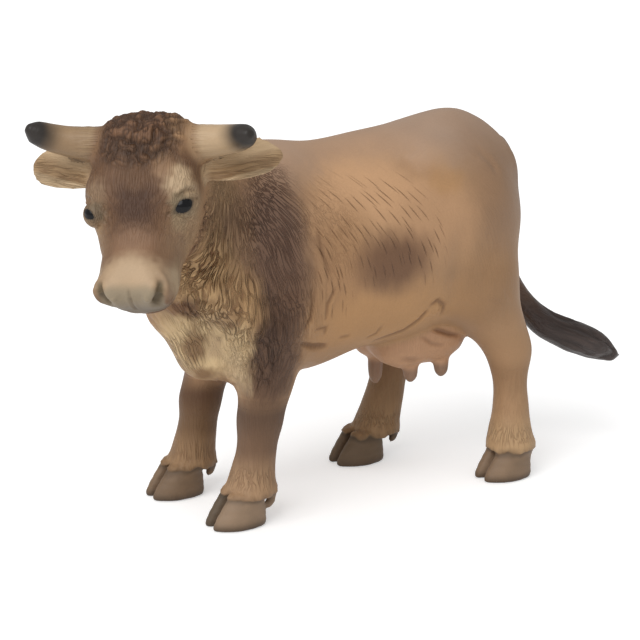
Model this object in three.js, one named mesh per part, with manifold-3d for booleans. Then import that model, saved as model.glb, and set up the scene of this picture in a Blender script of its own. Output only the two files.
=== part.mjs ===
// Toy cow figure: a painted solid plastic farm animal, moulded in fourteen pieces that plug together.
// The trunk with its neck takes the head, four lower legs, the udder and the tail; the head takes the horns,
// ears and eyes. Millimetres, +Z up. The cow faces -X and its left side is -Y. The origin is on the ground,
// under the middle of the figure.
import * as THREE from "three";
import { mergeVertices } from "three/addons/utils/BufferGeometryUtils.js";
import Module from "manifold-3d";

const wasm = await Module();
wasm.setup();

// Driving sizes of the body
const BODY_LENGTH = 92; // front of the brisket to the back of the tail root
const BARREL_WIDTH = 36.8; // across the belly at its widest
const BACK_HEIGHT = 73.6; // ground to the back, just behind the withers
const FLESH_THICKNESS = 9.2; // the muscle masses are shares of this
const FLESH_BLEND = 6.4; // reach of the soft fillet between one mass and the next

// Driving sizes of the legs
const LEG_THICKNESS = 9.2; // across the forearm above the knee
const LEG_BLEND = 2.8; // soft fillet between the parts of a leg
const LEG_ROOT_BLEND = 4.8; // and between a leg and the body
const LEG_SEAM_HEIGHT = 25.4; // where the front legs plug into the trunk
const HIND_SEAM_SLOPE_DEG = 11.5; // the hind seam rises towards the back from there
const HOOF_LENGTH = 12;
const HOOF_HEIGHT = 6.8;
const FRINGE_HEIGHT = 5.8; // where the hair of the fetlock ends over the hoof
const CLAW_WIDTH = 4.7; // one half of the cloven hoof
const CLEFT_WIDTH = 0.4; // slot between the two claws
const DEWCLAW_LENGTH = 4.6;
const DEWCLAW_THICKNESS = 2.2;
const DEWCLAW_TILT_DEG = 25;

// Driving sizes of the head, in its own frame: along the face, across it, and out of the forehead
const HEAD_LENGTH = 36.8; // back of the poll to the tip of the nose
const HEAD_WIDTH = 18.4;
const HEAD_DEPTH = 18.4;
const HEAD_BLEND = 2.6;
const HEAD_TURN_DEG = 53.5; // from straight ahead towards the cow's left
const HEAD_DIP_DEG = 57; // of the face below level
const HEAD_TILT_DEG = 5; // the left ear is the higher one
const EYE_DIAMETER = 4.6;
const NOSTRIL_LENGTH = 3.4;
const NOSTRIL_WIDTH = 1.7;
const NOSTRIL_SLANT_DEG = 35;
const MOUTH_WIDTH = 0.5; // of the slot between the lips
const MOUTH_DEPTH = 0.8;
const HORN_THICKNESS = 5.6;
const EAR_LENGTH = 16.3;
const EAR_WIDTH = 8.6;
const EAR_CUP = 2.3; // how deep the ear is hollowed
const EAR_WALL = 1.3;

// Udder and tail
const UDDER_LENGTH = 24.5;
const UDDER_WIDTH = 18;
const UDDER_DEPTH = 18;
const TEAT_THICKNESS = 3.3;
const TEAT_LENGTH = 5.2;
const TAIL_THICKNESS = 4.6;
const SWITCH_THICKNESS = 7.4; // the hairy end
const LOCK_DEPTH = 0.5; // of the grooves between the locks of hair in the switch
const LOCK_COUNT = 6;

// How the pieces fit together
const SEAM_GAP = 0.3; // between two pieces, and round every peg
const LEG_PEG_DIAMETER = 4.6;
const NECK_PEG_DIAMETER = 8;
const BODY_PEG_LENGTH = 5;
const SMALL_PEG_DIAMETER = 2.2;
const SMALL_PEG_LENGTH = 2.4;

// Facet sizes
const TRUNK_CELL = 3.25;
const LEG_CELL = 2.4;
const HEAD_CELL = 1.95;
const UDDER_CELL = 2.6;
const ROD_SIDES = 12;
const WELD_REACH = 0.0001; // corners nearer than this become one

const point = (shares) =>
  new THREE.Vector3(shares[0] * BODY_LENGTH, shares[1] * BARREL_WIDTH, shares[2] * BACK_HEIGHT);

// Fields: each gives about how far a point lies outside a mass, and less than zero inside it

// A tapering limb with round ends, from centre a of radius ra to centre b of radius rb. It is squashed
// across Y where flat is under one.
function taper(a, b, ra, rb, flat = 1) {
  const along = b.clone().sub(a);
  const length2 = along.lengthSq();
  return (p) => {
    const x = p.x - a.x;
    const y = p.y - a.y;
    const z = p.z - a.z;
    const t = THREE.MathUtils.clamp((x * along.x + y * along.y + z * along.z) / length2, 0, 1);
    const dy = (y - along.y * t) / flat;
    return Math.hypot(x - along.x * t, dy, z - along.z * t) - (ra + (rb - ra) * t);
  };
}

// An egg of the given centre and half sizes. A power of two makes it an ellipsoid, and a higher one boxier.
function egg(centre, half, power = 2) {
  const least = Math.min(half.x, half.y, half.z);
  return (p) => {
    const x = Math.abs(p.x - centre.x) / half.x;
    const y = Math.abs(p.y - centre.y) / half.y;
    const z = Math.abs(p.z - centre.z) / half.z;
    return ((x ** power + y ** power + z ** power) ** (1 / power) - 1) * least;
  };
}

// Joins two distances with a soft fillet
function blend(d1, d2, reach) {
  const h = Math.max(reach - Math.abs(d1 - d2), 0) / reach;
  return Math.min(d1, d2) - (h * h * reach) / 4;
}

// Smooth curve through rows whose first column is the place; it gives the other columns
function between(rows, x) {
  let i = 0;
  while (i < rows.length - 2 && x > rows[i + 1][0]) i++;
  const t = THREE.MathUtils.clamp((x - rows[i][0]) / (rows[i + 1][0] - rows[i][0]), 0, 1);
  const slope = (k, c) => {
    const before = rows[Math.max(k - 1, 0)];
    const after = rows[Math.min(k + 1, rows.length - 1)];
    return ((after[c] - before[c]) / (after[0] - before[0])) * (rows[i + 1][0] - rows[i][0]);
  };
  return rows[i].slice(1).map((value, column) => {
    const c = column + 1;
    const next = rows[i + 1][c];
    const t2 = t * t;
    const t3 = t2 * t;
    return (
      value * (2 * t3 - 3 * t2 + 1) + slope(i, c) * (t3 - 2 * t2 + t) +
      next * (3 * t2 - 2 * t3) + slope(i + 1, c) * (t3 - t2)
    );
  });
}

// The barrel: sections along the spine, each as shares of the length, and then of the back's height for its
// top, bottom and widest level, and of the width for its half width
const barrelShares = [
  [-0.42, 0.76, 0.53, 0.16, 0.63],
  [-0.385, 0.86, 0.445, 0.25, 0.625],
  [-0.34, 0.925, 0.415, 0.32, 0.62],
  [-0.27, 0.965, 0.39, 0.375, 0.615],
  [-0.18, 0.98, 0.366, 0.41, 0.615],
  [-0.11, 0.982, 0.372, 0.44, 0.622],
  [-0.03, 0.99, 0.403, 0.468, 0.628],
  [0.04, 1, 0.41, 0.48, 0.635],
  [0.12, 1.011, 0.418, 0.48, 0.65],
  [0.2, 1.031, 0.455, 0.44, 0.685],
  [0.28, 1.042, 0.53, 0.35, 0.72],
  [0.35, 1.005, 0.6, 0.27, 0.76],
  [0.39, 0.97, 0.65, 0.18, 0.79],
  [0.415, 0.92, 0.74, 0.08, 0.82],
];
const topRoundShare = 1.9; // two would make the barrel's sections ellipses
const bottomRoundShare = 2.2;
const leastRadiusShare = 0.01; // keeps the barrel's middle line off a division by zero
const barrelRows = barrelShares.map(([x, top, bottom, half, wide]) => [
  x * BODY_LENGTH,
  top * BACK_HEIGHT,
  bottom * BACK_HEIGHT,
  half * BARREL_WIDTH,
  wide * BACK_HEIGHT,
]);

function barrel(p) {
  const [top, bottom, half, wide] = between(barrelRows, p.x);
  const up = p.z > wide;
  const power = up ? topRoundShare : bottomRoundShare;
  const u = Math.abs(p.y) / half;
  const v = up ? (p.z - wide) / (top - wide) : (wide - p.z) / (wide - bottom);
  const r = Math.max((u ** power + v ** power) ** (1 / power), leastRadiusShare);
  const side = Math.hypot(p.y, p.z - wide) * (1 - 1 / r);
  const first = barrelRows[0][0];
  const last = barrelRows[barrelRows.length - 1][0];
  const past = Math.max(first - p.x, p.x - last);
  return -blend(-side, -past, FLESH_BLEND);
}

// Chains of muscle: rows of place shares (along, across, up) and a thickness share
const neckShares = [
  [[-0.2, 0, 0.85, 0.95], [-0.36, -0.07, 0.905, 0.8], [-0.49, -0.25, 0.965, 0.72]],
  [[-0.24, 0, 0.7, 1.4], [-0.38, -0.08, 0.77, 1.1], [-0.49, -0.25, 0.85, 0.8]],
];
const dewlapShares = [
  [[-0.46, -0.13, 0.66, 0.5], [-0.385, -0.02, 0.55, 0.53], [-0.35, 0, 0.47, 0.79]],
  [[-0.41, 0.03, 0.62, 0.42], [-0.462, 0.02, 0.587, 0.27]],
];
const bladeShares = [[[-0.35, 0.26, 0.63, 0.68], [-0.215, 0.17, 0.91, 0.42]]];
const rumpShares = [
  [[0.16, 0.28, 0.91, 0.45], [0.375, 0.12, 0.87, 0.42]],
  [[0.25, 0.2, 0.8, 1.08], [0.32, 0.19, 0.74, 0.72]],
];
const chainMasses = (chain, flat, side = 1) =>
  chain.slice(1).map((row, i) => {
    const place = ([x, y, z]) => point([x, y * side, z]);
    const [from, to] = [chain[i], row];
    return taper(place(from), place(to), from[3] * FLESH_THICKNESS, to[3] * FLESH_THICKNESS, flat);
  });

// Legs: rows of place shares and thickness share, from inside the body down to the fetlock
const legShares = {
  front_left_leg: [
    [-0.25, -0.27, 0.54, 0.8], [-0.263, -0.24, 0.375, 0.52], [-0.275, -0.225, 0.275, 0.45],
    [-0.284, -0.225, 0.185, 0.36], [-0.296, -0.225, 0.11, 0.44], [-0.298, -0.23, 0.085, 0.53],
  ],
  front_right_leg: [
    [-0.265, 0.27, 0.54, 0.85], [-0.292, 0.255, 0.375, 0.47], [-0.311, 0.275, 0.275, 0.43],
    [-0.315, 0.3, 0.185, 0.37], [-0.32, 0.325, 0.115, 0.43], [-0.322, 0.33, 0.095, 0.52],
  ],
  hind_left_leg: [
    [0.25, -0.2, 0.75, 1.1], [0.27, -0.25, 0.57, 1.0], [0.32, -0.3, 0.45, 0.6], [0.351, -0.33, 0.365, 0.48],
    [0.352, -0.36, 0.2, 0.35], [0.347, -0.375, 0.12, 0.45], [0.348, -0.38, 0.095, 0.54],
  ],
  hind_right_leg: [
    [0.27, 0.2, 0.75, 1.1], [0.245, 0.25, 0.57, 1.0], [0.225, 0.28, 0.45, 0.7], [0.207, 0.275, 0.35, 0.52],
    [0.175, 0.275, 0.185, 0.39], [0.158, 0.275, 0.115, 0.45], [0.153, 0.275, 0.095, 0.54],
  ],
};
const legMasses = Object.fromEntries(
  Object.entries(legShares).map(([name, rows]) => [
    name,
    rows.slice(1).map((row, i) =>
      taper(point(rows[i]), point(row), rows[i][3] * LEG_THICKNESS, row[3] * LEG_THICKNESS),
    ),
  ]),
);

const neckFlatShare = 0.8; // of its depth, how wide the neck is
const dewlapFlatShare = 0.7;
const pairedShares = [...bladeShares, ...rumpShares];
const softMasses = [
  ...neckShares.flatMap((chain) => chainMasses(chain, neckFlatShare)),
  ...dewlapShares.flatMap((chain) => chainMasses(chain, dewlapFlatShare)),
  ...[-1, 1].flatMap((side) => pairedShares.flatMap((chain) => chainMasses(chain, 1, side))),
];

function bodyField(p) {
  let d = barrel(p);
  for (const mass of softMasses) d = blend(d, mass(p), FLESH_BLEND);
  for (const masses of Object.values(legMasses)) {
    let leg = Infinity;
    for (const mass of masses) leg = leg === Infinity ? mass(p) : blend(leg, mass(p), LEG_BLEND);
    d = blend(d, leg, LEG_ROOT_BLEND);
  }
  return d;
}

// The head's own frame: its origin is on the poll, X runs down the face to the nose, Y to the cow's left and
// Z out of the forehead
const pollShares = [-0.5727, -0.4165, 1.1085];
const radians = THREE.MathUtils.degToRad;
const turned = (method, degrees) => new THREE.Matrix4()[method](radians(degrees));
const facingAhead = new THREE.Matrix4().makeBasis(
  new THREE.Vector3(-1, 0, 0),
  new THREE.Vector3(0, -1, 0),
  new THREE.Vector3(0, 0, 1),
);
const headFrame = new THREE.Matrix4()
  .setPosition(point(pollShares))
  .multiply(turned("makeRotationZ", HEAD_TURN_DEG))
  .multiply(turned("makeRotationY", -HEAD_DIP_DEG))
  .multiply(turned("makeRotationX", -HEAD_TILT_DEG))
  .multiply(facingAhead);
const intoHead = headFrame.clone().invert();
const headPoint = ([along, across, out], side = 1) =>
  new THREE.Vector3(along * HEAD_LENGTH, across * side * HEAD_WIDTH, out * HEAD_DEPTH);

// Eggs of the head: centre shares and half-size shares, each along, across and out of the face, and a power.
// The single ones may lie a little to one side.
const singleEggShares = {
  cranium: [[0.2, 0, -0.45], [0.27, 0.52, 0.42], 2.3],
  poll_tuft: [[0.055, 0.045, -0.26], [0.135, 0.49, 0.28], 2.5],
  forehead: [[0.31, 0, -0.42], [0.25, 0.47, 0.34], 2.4],
  muzzle: [[0.745, 0.025, -0.385], [0.125, 0.33, 0.3], 2.7],
  chin: [[0.705, 0.02, -0.62], [0.12, 0.23, 0.16], 2.2],
};
const pairedEggShares = {
  brow: [[0.315, 0.36, -0.25], [0.085, 0.17, 0.16], 2],
  nostril_rim: [[0.81, 0.24, -0.26], [0.06, 0.13, 0.13], 2],
  cheek: [[0.33, 0.25, -0.7], [0.24, 0.25, 0.36], 2.2],
};
// Tapers of the head: two ends, each of place shares and a share of the depth, and how wide for its depth
const headTaperShares = {
  bridge: [[0.33, 0, -0.42, 0.29], [0.68, 0, -0.41, 0.24], 1.42],
  jaw: [[0.25, 0, -0.86, 0.24], [0.65, 0, -0.68, 0.19], 1.3],
};
const headEgg = ([centre, half, power], side = 1) => egg(headPoint(centre, side), headPoint(half), power);
const headMasses = [
  ...Object.values(singleEggShares).map((row) => headEgg(row)),
  ...Object.values(pairedEggShares).flatMap((row) => [-1, 1].map((side) => headEgg(row, side))),
  ...Object.values(headTaperShares).map(([from, to, flat]) =>
    taper(headPoint(from), headPoint(to), from[3] * HEAD_DEPTH, to[3] * HEAD_DEPTH, flat),
  ),
];

// In the head's frame
function headField(p) {
  let d = Infinity;
  for (const mass of headMasses) d = d === Infinity ? mass(p) : blend(d, mass(p), HEAD_BLEND);
  return d;
}

const wholeField = (p) => blend(bodyField(p), headField(p.clone().applyMatrix4(intoHead)), FLESH_BLEND);

// A grid face whose corners lie in, out, in and out could join up in two ways. The shallower of its inside
// corners is put barely outside, so that every skin comes out as one plain surface.
const barelyOutShare = 1e-6; // of a cell
const tieShare = 1e-9; // of a cell
function settle(value, [nx, ny, nz], index, cell) {
  const strides = [1, nx, nx * ny];
  for (let changed = true; changed; ) {
    changed = false;
    for (let k = 0; k < nz - 1; k++)
      for (let j = 0; j < ny - 1; j++)
        for (let i = 0; i < nx - 1; i++)
          for (let axis = 0; axis < 3; axis++) {
            const [u, w] = [strides[axis], strides[(axis + 1) % 3]];
            const here = index(i, j, k);
            const face = [here, here + u, here + u + w, here + w];
            const [a, b, c, d] = face.map((corner) => value[corner] < 0);
            if (a !== c || b !== d || a === b) continue;
            const inner = a ? [face[0], face[2]] : [face[1], face[3]];
            const first = value[inner[0]] - value[inner[1]] > tieShare * cell;
            value[first ? inner[0] : inner[1]] = barelyOutShare * cell;
            changed = true;
          }
  }
}

// Moves each vertex halfway to the middle of its neighbours
function evenOut(positions, triangles) {
  const sums = new Float64Array(positions.length);
  const counts = new Uint16Array(positions.length / 3);
  triangles.forEach((from, t) => {
    const to = triangles[t % 3 === 2 ? t - 2 : t + 1];
    for (let n = 0; n < 3; n++) sums[3 * from + n] += positions[3 * to + n];
    counts[from]++;
  });
  for (let v = 0; v < positions.length; v++) {
    const middle = sums[v] / counts[Math.floor(v / 3)];
    positions[v] = (positions[v] + middle) / 2;
  }
}

// Moves each vertex along the field's slope onto its zero surface
const probeShare = 0.1; // of a cell, between the places where the slope is read
const moveShare = 1 / 3; // of a cell, the farthest move in one pass
const leastSteepShare = 0.25; // a gentler slope than this counts as this
function pullOnto(sample, positions, cell) {
  const step = probeShare * cell;
  const most = moveShare * cell;
  for (let v = 0; v < positions.length; v += 3) {
    const [x, y, z] = positions.slice(v, v + 3);
    const d = sample(x, y, z);
    const slope = [
      sample(x + step, y, z) - sample(x - step, y, z),
      sample(x, y + step, z) - sample(x, y - step, z),
      sample(x, y, z + step) - sample(x, y, z - step),
    ].map((s) => s / (2 * step));
    const steep = Math.max(slope[0] ** 2 + slope[1] ** 2 + slope[2] ** 2, leastSteepShare);
    for (let n = 0; n < 3; n++)
      positions[v + n] -= THREE.MathUtils.clamp((d * slope[n]) / steep, -most, most);
  }
}

// Turns a field into a closed skin of facets: one vertex in each cell that the surface crosses, pulled onto
// the surface, and one quad across each grid edge that changes sign
const marginCells = 2; // kept empty on every side of the grid
const skinPasses = 5;
function skin(field, low, high, cell, grow = 0) {
  const counts = ["x", "y", "z"].map((axis) => Math.ceil((high[axis] - low[axis]) / cell) + marginCells);
  const [nx, ny, nz] = counts;
  const index = (i, j, k) => i + nx * (j + ny * k);
  const value = new Float64Array(nx * ny * nz);
  const p = new THREE.Vector3();
  const sample = (x, y, z) => field(p.set(x, y, z)) - grow;
  const inMargin = (place) => place.some((n, axis) => Math.min(n, counts[axis] - 1 - n) < marginCells);
  for (let k = 0; k < nz; k++)
    for (let j = 0; j < ny; j++)
      for (let i = 0; i < nx; i++)
        value[index(i, j, k)] = Math.max(
          sample(low.x + i * cell, low.y + j * cell, low.z + k * cell),
          inMargin([i, j, k]) ? cell / 2 : -Infinity,
        );
  settle(value, counts, index, cell);
  const vertexOf = new Int32Array(nx * ny * nz).fill(-1);
  const positions = [];
  for (let k = 0; k < nz - 1; k++)
    for (let j = 0; j < ny - 1; j++)
      for (let i = 0; i < nx - 1; i++) {
        const sum = [0, 0, 0];
        let crossings = 0;
        for (let corner = 0; corner < 8; corner++)
          for (let axis = 0; axis < 3; axis++) {
            if ((corner >> axis) & 1) continue;
            const a = [corner & 1, (corner >> 1) & 1, corner >> 2];
            const b = [...a];
            b[axis] = 1;
            const va = value[index(i + a[0], j + a[1], k + a[2])];
            const vb = value[index(i + b[0], j + b[1], k + b[2])];
            if (va < 0 === vb < 0) continue;
            a[axis] += va / (va - vb);
            a.forEach((coordinate, n) => (sum[n] += coordinate));
            crossings++;
          }
        if (!crossings) continue;
        vertexOf[index(i, j, k)] = positions.length / 3;
        const [x, y, z] = sum.map((s) => (s / crossings) * cell);
        positions.push(low.x + i * cell + x, low.y + j * cell + y, low.z + k * cell + z);
      }
  const triangles = [];
  const strides = [1, nx, nx * ny];
  for (let k = 1; k < nz - 1; k++)
    for (let j = 1; j < ny - 1; j++)
      for (let i = 1; i < nx - 1; i++) {
        const here = index(i, j, k);
        for (let axis = 0; axis < 3; axis++) {
          const inside = value[here] < 0;
          if (inside === value[here + strides[axis]] < 0) continue;
          const [u, w] = [strides[(axis + 1) % 3], strides[(axis + 2) % 3]];
          const ring = [here, here - u, here - u - w, here - w].map((cellIndex) => vertexOf[cellIndex]);
          if (!inside) ring.reverse();
          triangles.push(ring[0], ring[1], ring[2], ring[0], ring[2], ring[3]);
        }
      }
  for (let pass = 0; pass < skinPasses; pass++) {
    evenOut(positions, triangles);
    pullOnto(sample, positions, cell);
  }
  return new wasm.Manifold(
    new wasm.Mesh({
      numProp: 3,
      vertProperties: new Float32Array(positions),
      triVerts: new Uint32Array(triangles),
    }),
  );
}

// A three.js geometry, placed by a matrix, as a solid
function solid(geometry, matrix = new THREE.Matrix4()) {
  const placed = geometry.clone().applyMatrix4(matrix);
  placed.deleteAttribute("normal");
  placed.deleteAttribute("uv");
  const merged = mergeVertices(placed, WELD_REACH);
  return new wasm.Manifold(
    new wasm.Mesh({
      numProp: 3,
      vertProperties: merged.attributes.position.array,
      triVerts: new Uint32Array(merged.index.array),
    }),
  );
}

const material = (color, roughness) => new THREE.MeshStandardMaterial({ color, roughness, metalness: 0 });
const hide = material(0x9a7b5e, 0.6);
const horny = material(0xbfa987, 0.5);
const glossy = material(0x14110f, 0.15);
const skinPink = material(0xc09a80, 0.6);
const dark = material(0x4a3a32, 0.6);

function mesh(name, body, finish) {
  const { vertProperties, triVerts, numProp } = body.getMesh();
  const positions = new Float32Array((vertProperties.length / numProp) * 3);
  for (let i = 0; i < positions.length / 3; i++)
    positions.set(vertProperties.subarray(i * numProp, i * numProp + 3), i * 3);
  const geometry = new THREE.BufferGeometry();
  geometry.setAttribute("position", new THREE.BufferAttribute(positions, 3));
  geometry.setIndex(new THREE.BufferAttribute(triVerts, 1));
  const made = new THREE.Mesh(geometry.toNonIndexed(), finish);
  made.geometry.computeVertexNormals();
  made.name = name;
  return made;
}

// A closed solid through rings of points, all with the same count, with a fan over each end
function loft(rings) {
  const sides = rings[0].length;
  const centreOf = (ring) => ring.reduce((sum, v) => sum.add(v), new THREE.Vector3()).divideScalar(sides);
  const points = [...rings.flat(), centreOf(rings[0]), centreOf(rings[rings.length - 1])];
  const first = rings.length * sides;
  const index = [];
  for (let r = 0; r < rings.length - 1; r++)
    for (let s = 0; s < sides; s++) {
      const [a, b] = [r * sides + s, r * sides + ((s + 1) % sides)];
      index.push(a, b, b + sides, a, b + sides, a + sides);
    }
  const top = (rings.length - 1) * sides;
  for (let s = 0; s < sides; s++) {
    const next = (s + 1) % sides;
    index.push(first, next, s, first + 1, top + s, top + next);
  }
  const geometry = new THREE.BufferGeometry().setFromPoints(points);
  geometry.setIndex(index);
  const body = solid(geometry);
  return body.volume() > 0 ? body : solid(geometry.setIndex(index.reverse()));
}

const bluntShare = 0.1; // of its radius, by which a round tip stops short of a point

// A limb along a smooth curve through centres, with a radius at each and a round tip. The ripple scales the
// radius at an angle round it, and at a share of the way along.
function limb(centres, radii, steps, sides, ripple = () => 1) {
  const curve = new THREE.CatmullRomCurve3(centres);
  const girth = new THREE.CatmullRomCurve3(radii.map((radius) => new THREE.Vector3(radius)));
  const { normals, binormals } = curve.computeFrenetFrames(steps);
  const length = curve.getLength();
  const rings = normals.map((normal, i) => {
    const t = curve.getUtoTmapping(i / steps);
    const full = girth.getPoint(t).x;
    const short = Math.min(((1 - i / steps) * length + full * bluntShare) / full, 1);
    const round = full * Math.sqrt(1 - (1 - short) ** 2);
    return Array.from({ length: sides }, (_, s) => {
      const angle = (s / sides) * 2 * Math.PI;
      const radius = round * ripple(angle, i / steps);
      return curve
        .getPoint(t)
        .addScaledVector(normal, radius * Math.cos(angle))
        .addScaledVector(binormals[i], radius * Math.sin(angle));
    });
  });
  return loft(rings);
}

// A straight rod from one point to another
function rod(from, to, radius) {
  const along = to.clone().sub(from);
  const direction = along.clone().normalize();
  const turn = new THREE.Quaternion().setFromUnitVectors(new THREE.Vector3(0, 1, 0), direction);
  const middle = from.clone().add(to).divideScalar(2);
  const place = new THREE.Matrix4().compose(middle, turn, new THREE.Vector3(1, 1, 1));
  return solid(new THREE.CylinderGeometry(radius, radius, along.length(), ROD_SIDES), place);
}

// A peg that starts inside one piece at a point and plugs into the next along a direction. The seam lies
// halfway, and the socket is the peg with a gap round it.
function plug(at, direction, diameter, length) {
  const reach = direction.clone().normalize().multiplyScalar(length);
  const start = at.clone().sub(reach);
  const end = at.clone().add(reach);
  const pastEnd = end.clone().addScaledVector(reach, SEAM_GAP / length);
  return { peg: rod(start, end, diameter / 2), socket: rod(start, pastEnd, diameter / 2 + SEAM_GAP) };
}

// Seams: each is a plane through a point, with its normal towards the trunk
const neckSeamShares = [-0.47, -0.225, 0.925];
const seamNormalShares = [0.9, 0.36, -0.25];
const legSeamAt = new THREE.Vector3(0, 0, LEG_SEAM_HEIGHT);
const up = new THREE.Vector3(0, 0, 1);
const seams = {
  neck: { at: point(neckSeamShares), normal: new THREE.Vector3(...seamNormalShares).normalize() },
  front: { at: legSeamAt, normal: up },
  hind: { at: legSeamAt, normal: up.clone().applyMatrix4(turned("makeRotationY", -HIND_SEAM_SLOPE_DEG)) },
};

// Keeps what lies on one side of a seam: 1 is the trunk's side, -1 the other piece's
function keep(body, { at, normal }, side) {
  const facing = normal.clone().multiplyScalar(side);
  return body.trimByPlane(facing.toArray(), facing.dot(at) + SEAM_GAP / 2);
}

// A ball squashed to half sizes, placed by a matrix
const ball = (half, place, sides = ROD_SIDES) =>
  solid(new THREE.SphereGeometry(1, sides, sides / 2), place.clone().scale(half));

// Skins of the whole figure, which the seams cut: one with the trunk's facets and one in the head's frame. A
// skin grown by the gap cuts the pieces that sit on it.
const trunkBoxShares = [[-0.64, -0.62, 0.12], [0.56, 0.62, 1.16]];
const headBoxShares = [[-0.32, -0.75, -1.55], [1.0, 0.75, 0.14]];
const wholeInHead = (p) => wholeField(p.applyMatrix4(headFrame));
const trunkSkin = (grow) => skin(wholeField, ...trunkBoxShares.map(point), TRUNK_CELL, grow);
const headSkin = (grow) =>
  skin(wholeInHead, ...headBoxShares.map((corner) => headPoint(corner)), HEAD_CELL, grow).transform(
    headFrame.elements,
  );

// The middle of each hoof, along and across
const footShares = {
  front_left_leg: [-0.335, -0.235],
  front_right_leg: [-0.362, 0.34],
  hind_left_leg: [0.328, -0.385],
  hind_right_leg: [0.101, 0.28],
};

// Sections of a claw from the sole up: height, toe, heel and half width, as shares of the hoof's height,
// its length, its length again and the claw's width
const clawShares = [
  [0, -0.51, 0.41, 0.48], [0.07, -0.53, 0.43, 0.51], [0.35, -0.45, 0.42, 0.5], [0.7, -0.31, 0.4, 0.46],
  [1, -0.18, 0.34, 0.36],
];
const clawSides = 16;
const slimToeShare = 0.4; // how much narrower a claw is at its toe, which lies close to the cleft
const outerRoundShare = 0.85; // less than one makes a claw's section squarer, as it is on the cleft's side
const innerRoundShare = 0.4;

function claw(foot, side) {
  const rings = clawShares.map(([rise, toe, heel, half]) =>
    Array.from({ length: clawSides }, (_, s) => {
      const angle = (s / clawSides) * 2 * Math.PI;
      const forward = Math.cos(angle);
      const across = Math.sin(angle);
      const x = ((toe + heel + forward * (toe - heel)) / 2) * HOOF_LENGTH;
      const slim = 1 - slimToeShare * Math.max(forward, 0) ** 2;
      const round = across > 0 ? outerRoundShare : innerRoundShare;
      const width = (1 / 2 + half * Math.sign(across) * Math.abs(across) ** round) * slim * CLAW_WIDTH;
      return new THREE.Vector3(x, side * (CLEFT_WIDTH / 2 + width), rise * HOOF_HEIGHT).add(foot);
    }),
  );
  return loft(rings);
}

// A dewclaw hangs behind the fetlock, which is the last row of a leg
const dewclawSides = 8;
const dewclawShares = [0.34, 0.24, -0.2];
function dewclaw(fetlock, side) {
  const [back, out, drop] = dewclawShares;
  const at = fetlock.clone().add(new THREE.Vector3(back, out * side, drop).multiplyScalar(LEG_THICKNESS));
  const half = new THREE.Vector3(DEWCLAW_THICKNESS, DEWCLAW_THICKNESS, DEWCLAW_LENGTH).divideScalar(2);
  return ball(half, turned("makeRotationY", DEWCLAW_TILT_DEG).setPosition(at), dewclawSides);
}

// Where a path through places comes out of the figure's skin
const halvings = 12;
function wayOut(places) {
  const i = places.findIndex((place) => wholeField(place) > 0);
  const [inside, outside] = [places[i - 1].clone(), places[i].clone()];
  for (let halving = 0; halving < halvings; halving++) {
    const middle = inside.clone().lerp(outside, 0.5);
    (wholeField(middle) > 0 ? outside : inside).copy(middle);
  }
  return inside;
}

// Where a leg's middle line meets its seam
function seamPoint(places, { at, normal }) {
  const heights = places.map((place) => place.clone().sub(at).dot(normal));
  const i = heights.findIndex((height) => height < 0);
  return places[i - 1].clone().lerp(places[i], heights[i - 1] / (heights[i - 1] - heights[i]));
}

function lowerLeg(name) {
  const places = legShares[name].map(point);
  const seam = name.startsWith("hind") ? seams.hind : seams.front;
  const foot = point([...footShares[name], 0]);
  const room = new THREE.Box3().setFromPoints([foot, ...places]).expandByScalar(LEG_THICKNESS);
  room[foot.y > 0 ? "min" : "max"].y = 0;
  const whole = skin(wholeField, room.min, room.max, LEG_CELL);
  const shank = keep(whole, seam, -1).trimByPlane(up.toArray(), FRINGE_HEIGHT);
  const { peg, socket } = plug(seamPoint(places, seam), seam.normal, LEG_PEG_DIAMETER, BODY_PEG_LENGTH);
  const fetlock = places[places.length - 1];
  const parts = [-1, 1].flatMap((side) => [claw(foot, side), dewclaw(fetlock, side)]);
  return { body: parts.reduce((sum, part) => sum.add(part), shank.add(peg)), socket };
}

const legs = Object.keys(legShares).map((name) => ({ name, ...lowerLeg(name) }));

// Places on the head, in shares of its sizes
const inHead = (shares, side = 1) => headPoint(shares, side).applyMatrix4(headFrame);
const eyeShares = [0.407, 0.41, -0.245];
const eyeLeanShare = -0.017; // the left eye is this much higher, and the right one lower
const nostrilShares = [0.868, 0.265, -0.24];
const mouthShares = [0.95, 0, -0.58];

const eye = (side, gap) => {
  const radius = EYE_DIAMETER / 2 + gap;
  const [along, across, out] = eyeShares;
  const at = inHead([along + eyeLeanShare * side, across, out], side);
  return ball(new THREE.Vector3(radius, radius, radius), new THREE.Matrix4().setPosition(at));
};

function nostril(side) {
  const at = headPoint(nostrilShares, side);
  const slant = turned("makeRotationZ", side * NOSTRIL_SLANT_DEG).setPosition(at);
  const half = new THREE.Vector3(NOSTRIL_WIDTH, NOSTRIL_LENGTH, NOSTRIL_LENGTH).divideScalar(2);
  return ball(half, headFrame.clone().multiply(slant));
}

// The slot between the lips: a thin sheet through the muzzle, less what lies deeper than the slot
const mouthSheetShare = 0.5; // how far back the sheet starts, of the head's width
function mouth() {
  const sheet = new THREE.BoxGeometry(mouthSheetShare * HEAD_WIDTH, HEAD_WIDTH, MOUTH_WIDTH);
  const place = new THREE.Matrix4().setPosition(headPoint(mouthShares));
  return solid(sheet, headFrame.clone().multiply(place)).subtract(headSkin(-MOUTH_DEPTH));
}

// Horns: rows from the root to the tip, of place shares in the head, a thickness share, and the share by
// which the left one lies lower and the right one higher
const hornShares = [
  [0.06, 0.2, -0.27, 1.2, 0], [0.06, 0.47, -0.26, 1.18, 0], [0.057, 0.76, -0.21, 1, 0.006],
  [0.06, 0.98, -0.09, 0.86, 0.018], [0.065, 1.09, 0.05, 0.64, 0.03],
];
const hornSteps = 10;

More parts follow.
